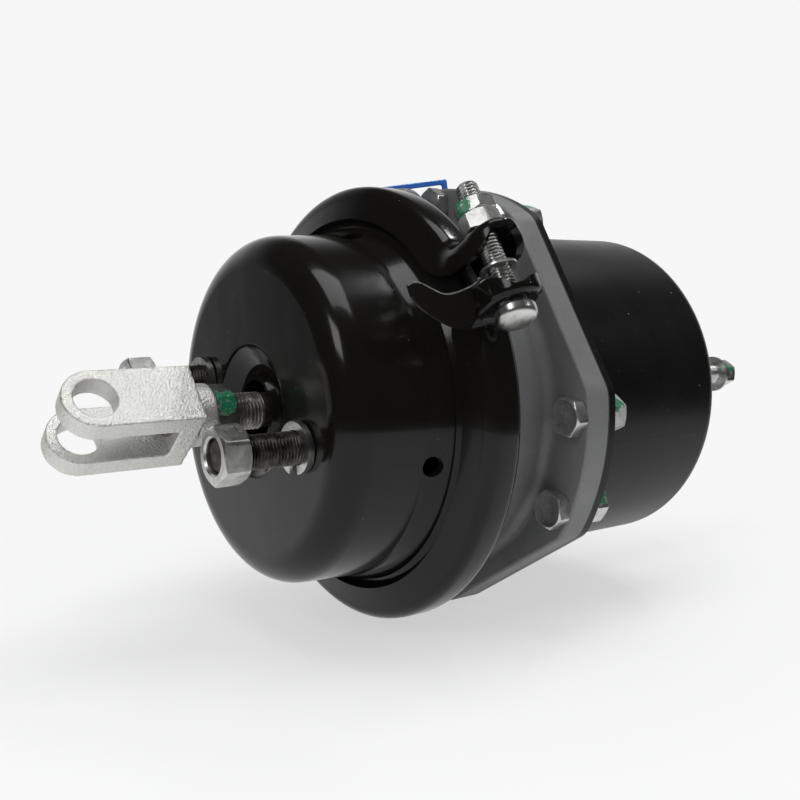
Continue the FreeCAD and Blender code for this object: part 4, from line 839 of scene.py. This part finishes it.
# Transport plugs in the two ports, each with a flat pull loop
def makePlugs():
    size = {"mouths": ((-71.9, -20.0, 75.5), (-71.9, -88.0, 17.8)), "tilt": 9, "disc": 11.3, "thick": 1.6,
            "edge": 0.3, "faceEdge": 0.4, "stem": 6.1, "stemEdge": 0.8, "depth": 9.0, "dish": 0.8,
            "dishWall": 1, "dishFoot": 1.6, "loopOver": 0.4, "loopStart": -2.0, "loopEnd": -39.0,
            "loopHeight": 8.6, "bar": 2.3, "corner": 1.1, "proud": 0.1}
    b = Build()
    disc, thick, edge, stem, bar = (size[key] for key in ("disc", "thick", "edge", "stem", "bar"))
    top = disc + size["loopOver"]
    bottom = -size["depth"]

    def loop(inset, y):
        # rounded rectangle in the plug's own plane
        low, high = (top - size["loopHeight"] + inset, top - inset)
        left, right = (size["loopEnd"] + inset, size["loopStart"] - inset)
        radius = size["corner"]
        points = []
        for x, z, start in ((right, high, 0), (left, high, 90), (left, low, 180), (right, low, 270)):
            centreX = x - radius * (1 if x == right else -1)
            centreZ = z - radius * (1 if z == high else -1)
            for i in range(5):
                a = math.radians(start + i * 22.5)
                spot = (centreX + radius * math.cos(a), y, centreZ + radius * math.sin(a))
                points.append(place @ Vector(spot))
        return points

    for mouth in size["mouths"]:
        place = Matrix.Translation(mouth) @ Matrix.Rotation(math.radians(size["tilt"]), 4, "Y")
        floor = thick - size["dish"]
        b.lathe([(bottom, 0), (bottom, stem - size["stemEdge"]), (bottom + size["stemEdge"], stem), (0, stem),
                 (0, disc - edge), (edge, disc), (thick - edge, disc), (thick, disc - size["faceEdge"]),
                 (thick, stem - size["dishWall"]), (floor, stem - size["dishFoot"]), (floor, 0)],
                place @ Matrix.Rotation(math.radians(-90), 4, "Z"))
        front, back = (size["proud"], -thick - size["proud"])
        b.rings([loop(edge, front), loop(0, front - edge), loop(0, back + edge), loop(edge, back),
                 loop(bar - edge, back), loop(bar, back + edge), loop(bar, front - edge),
                 loop(bar - edge, front)], closed=True)
    b.piece("transportPlugs", "blue_plastic", "chamber", ["port_plugs"], smooth=40)


# Conical coil springs between two seats, each left as one fixed mesh; start is the moving end
def makeSprings():
    springs = {
        "returnSpring": {"node": "return_spring", "body": "push_rod_body", "start": -66.8, "end": -3.2,
                         "radii": (24.0, 52.0), "wire": 3.4, "turns": 3.5},
        "powerSpring": {"node": "power_spring", "body": "parking_piston_body", "start": -165.5,
                        "end": -182.8, "radii": (25.0, 52.0), "wire": 7.6, "turns": 3.0},
    }
    shape = {"stepsPerTurn": 40, "round": 14, "flatEnd": 0.1}
    for name, spring in springs.items():
        b = Build()
        start, end, wire, turns = (spring[key] for key in ("start", "end", "wire", "turns"))
        first, last = spring["radii"]
        steps = int(turns * shape["stepsPerTurn"])
        sign = 1 if end > start else -1
        rings = []
        for i in range(steps + 1):
            t = i / steps
            # the end coils lie flat on their seats
            rise = min(1.0, max(0.0, (t - shape["flatEnd"]) / (1 - 2 * shape["flatEnd"])))
            x = start + sign * (wire / 2 + (abs(end - start) - wire) * rise)
            clock = 360.0 * turns * t
            centre = polar(first + (last - first) * t, clock, x)
            out = polar(1.0, clock).normalized()
            ring = []
            for j in range(shape["round"]):
                c = 2 * math.pi * j / shape["round"]
                ring.append(centre + (out * math.cos(c) + Vector((1, 0, 0)) * math.sin(c)) * wire / 2)
            rings.append(ring)
        b.rings(rings)
        piece = b.piece(name, "spring_steel", "chamber", [spring["node"]], smooth=60)
        piece.parent = None
        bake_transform(piece)


# Diaphragm: moulded rubber whose middle lies on the push plate, left as one fixed mesh
def makeDiaphragm():
    front = [(-50.0, 66.0), (-50.0, 72.0), (-50.2, 78.4), (-51.5, 78.8), (-52.8, 78.4), (-53.0, 72.0),
             (-53.0, 66.9), (-57.5, 64.4), (-62.0, 62.2), (-68.0, 56.0), (-72.6, 50.6), (-73.2, 48.0),
             (-73.2, 30.0), (-73.2, 12.0), (-73.2, 0.0)]
    inner = [(-70.2, 0.0), (-70.2, 12.0), (-70.2, 30.0), (-70.2, 46.0), (-69.6, 48.4), (-65.5, 53.4),
             (-60.0, 59.2), (-56.0, 61.8), (-52.0, 63.6), (-50.3, 64.6)]
    b = Build()
    b.lathe(front + inner, count=96, capStart=False, capEnd=False)
    piece = b.piece("rubberDiaphragm", "black_rubber", "chamber", ["diaphragm"], smooth=50)
    piece.parent = None
    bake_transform(piece)


makeStuds()
makeRod()
makeClevis()
makeClampBand()
makeTag()
makeClampBolt()
makeNuts()
makeFlangeBolts()
makeReleaseBolt()
makePlugs()
makeSprings()
makeDiaphragm()
print("detailed pieces made")


# Camera where the photograph was taken from
camera = {"lens": 45.777, "sensor": 36.0, "clip": 0.01, "position": (0.17564, 0.33399, 0.04562),
          "right": (-0.8128, 0.58254, -0.00062), "ahead": (-0.58131, -0.81116, -0.06392),
          "shiftX": 0.0116, "shiftY": -0.06}


def makeCamera():
    data = bpy.data.cameras.new("camera")
    data.lens = camera["lens"]
    data.sensor_width = camera["sensor"]
    data.clip_start = camera["clip"]
    data.shift_x = camera["shiftX"]
    data.shift_y = camera["shiftY"]
    seat = bpy.data.objects.new("camera", data)
    bpy.context.scene.collection.objects.link(seat)
    ahead = Vector(camera["ahead"]).normalized()
    up = Vector(camera["right"]).normalized().cross(ahead).normalized()
    right = ahead.cross(up).normalized()
    turn = Matrix((right, up, -ahead)).transposed().to_4x4()
    seat.matrix_world = Matrix.Translation(camera["position"]) @ turn
    bpy.context.scene.camera = seat


# Studio: pale floor that runs into a pale backdrop, with a dim room behind the camera
studio = {"floorDrop": 0.0002, "floorRadius": 0.5, "floorGlow": 0.6, "floorShades": (0.80, 0.83),
          "floorCloud": (3, 3), "floorSides": 96, "paper": {"Roughness": 0.75, "Specular IOR Level": 0.2},
          "fadeFrom": 0.25, "fadeEnd": 0.02, "backdrop": 0.93, "room": 0.03,
          "paleAhead": (0.3, 0.75), "paleAbove": (0.75, 0.25),
          "fill": 0.65, "fillColour": (0.97, 0.985, 1.0, 1)}


def seenRays(f):
    # 1 for the rays that show the background: camera, glossy and transmission
    kinds = ("Is Camera Ray", "Is Glossy Ray", "Is Transmission Ray")
    straight, mirrored, passed = [f.node("ShaderNodeLightPath", {}, {}, kind) for kind in kinds]
    return straight.most(mirrored).most(passed)


def makeFloor():
    mesh = bpy.data.meshes.new("floor")
    build = bmesh.new()
    bmesh.ops.create_circle(build, cap_ends=True, segments=studio["floorSides"], radius=studio["floorRadius"])
    build.to_mesh(mesh)
    build.free()
    floor = bpy.data.objects.new("floor", mesh)
    floor.location = (0, 0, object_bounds()[0][2] - studio["floorDrop"])
    bpy.context.scene.collection.objects.link(floor)
    f = Finish("floorPaper", None, studio["paper"])
    dark, light = studio["floorShades"]
    f.feed(colour=f.mix(f.noise(*studio["floorCloud"]), grey(dark), grey(light)))
    glow = f.node("ShaderNodeEmission", {}, {"Color": grey(studio["backdrop"])})
    fade = f.distance((0, 0, 0)).step(studio["fadeFrom"], studio["floorRadius"] - studio["fadeEnd"])
    share = seenRays(f) * (fade * (1 - studio["floorGlow"]) + studio["floorGlow"])
    paper = Wire(f, f.shader.outputs[0])
    both = f.node("ShaderNodeMixShader", {}, {0: share, 1: paper, 2: glow})
    f.tree.links.new(both.socket, f.tree.nodes["Material Output"].inputs["Surface"])
    mesh.materials.append(f.material)


class Sky(Finish):
    # the world's own tree, written like a finish
    def __init__(self, world):
        world.use_nodes = True
        self.tree = world.node_tree
        self.place = self.node("ShaderNodeTexCoord", {}, {}, "Generated")


def makeWorld():
    # the camera sees the pale backdrop, and mirrored rays see it where they go on ahead and not up
    world = bpy.data.worlds.new("studio")
    bpy.context.scene.world = world
    f = Sky(world)
    towards = f.vector("DOT_PRODUCT", camera["ahead"], "Value")
    above = f.node("ShaderNodeSeparateXYZ", {}, {0: f.place}, "Z")
    straight = f.node("ShaderNodeLightPath", {}, {}, "Is Camera Ray")
    pale = straight.most(towards.step(*studio["paleAhead"]) * above.step(*studio["paleAbove"]))
    seen = f.mix(pale, grey(studio["room"]), grey(studio["backdrop"]))
    shown = f.node("ShaderNodeBackground", {}, {"Color": seen})
    background = f.tree.nodes["Background"]
    background.inputs["Color"].default_value = studio["fillColour"]
    background.inputs["Strength"].default_value = studio["fill"]
    light = Wire(f, background.outputs[0])
    both = f.node("ShaderNodeMixShader", {}, {0: seenRays(f), 1: light, 2: shown})
    f.tree.links.new(both.socket, f.tree.nodes["World Output"].inputs["Surface"])


def makeLights():
    # place, target, size and power of each lamp
    lamps = {
        "overhead": ((0.0, 0.2, 1.3), (-0.05, 0, 0), (1.1, 0.7), 9),
        "front": ((1.2, 0.5, 0.9), (0, 0, 0), (0.5, 0.5), 4.5),
        "ceilingTube": ((-0.90, 0.01, 1.27), (-0.03, 0.04, 0.04), (0.34, 0.10), 3.2),
        "ceilingRound": ((-0.86, 1.0, 0.82), (-0.02, 0.06, 0.02), (0.09, 0.06), 0.9),
    }
    for name, (place, target, size, power) in lamps.items():
        data = bpy.data.lights.new(name, "AREA")
        data.shape = "RECTANGLE"
        data.size, data.size_y = size
        data.energy = power
        lamp = bpy.data.objects.new(name, data)
        lamp.location = place
        lamp.rotation_euler = (Vector(target) - Vector(place)).to_track_quat("-Z", "Y").to_euler()
        bpy.context.scene.collection.objects.link(lamp)


makeCamera()
makeFloor()
makeWorld()
makeLights()
bpy.context.scene.view_settings.view_transform = "Standard"
print("studio ready")
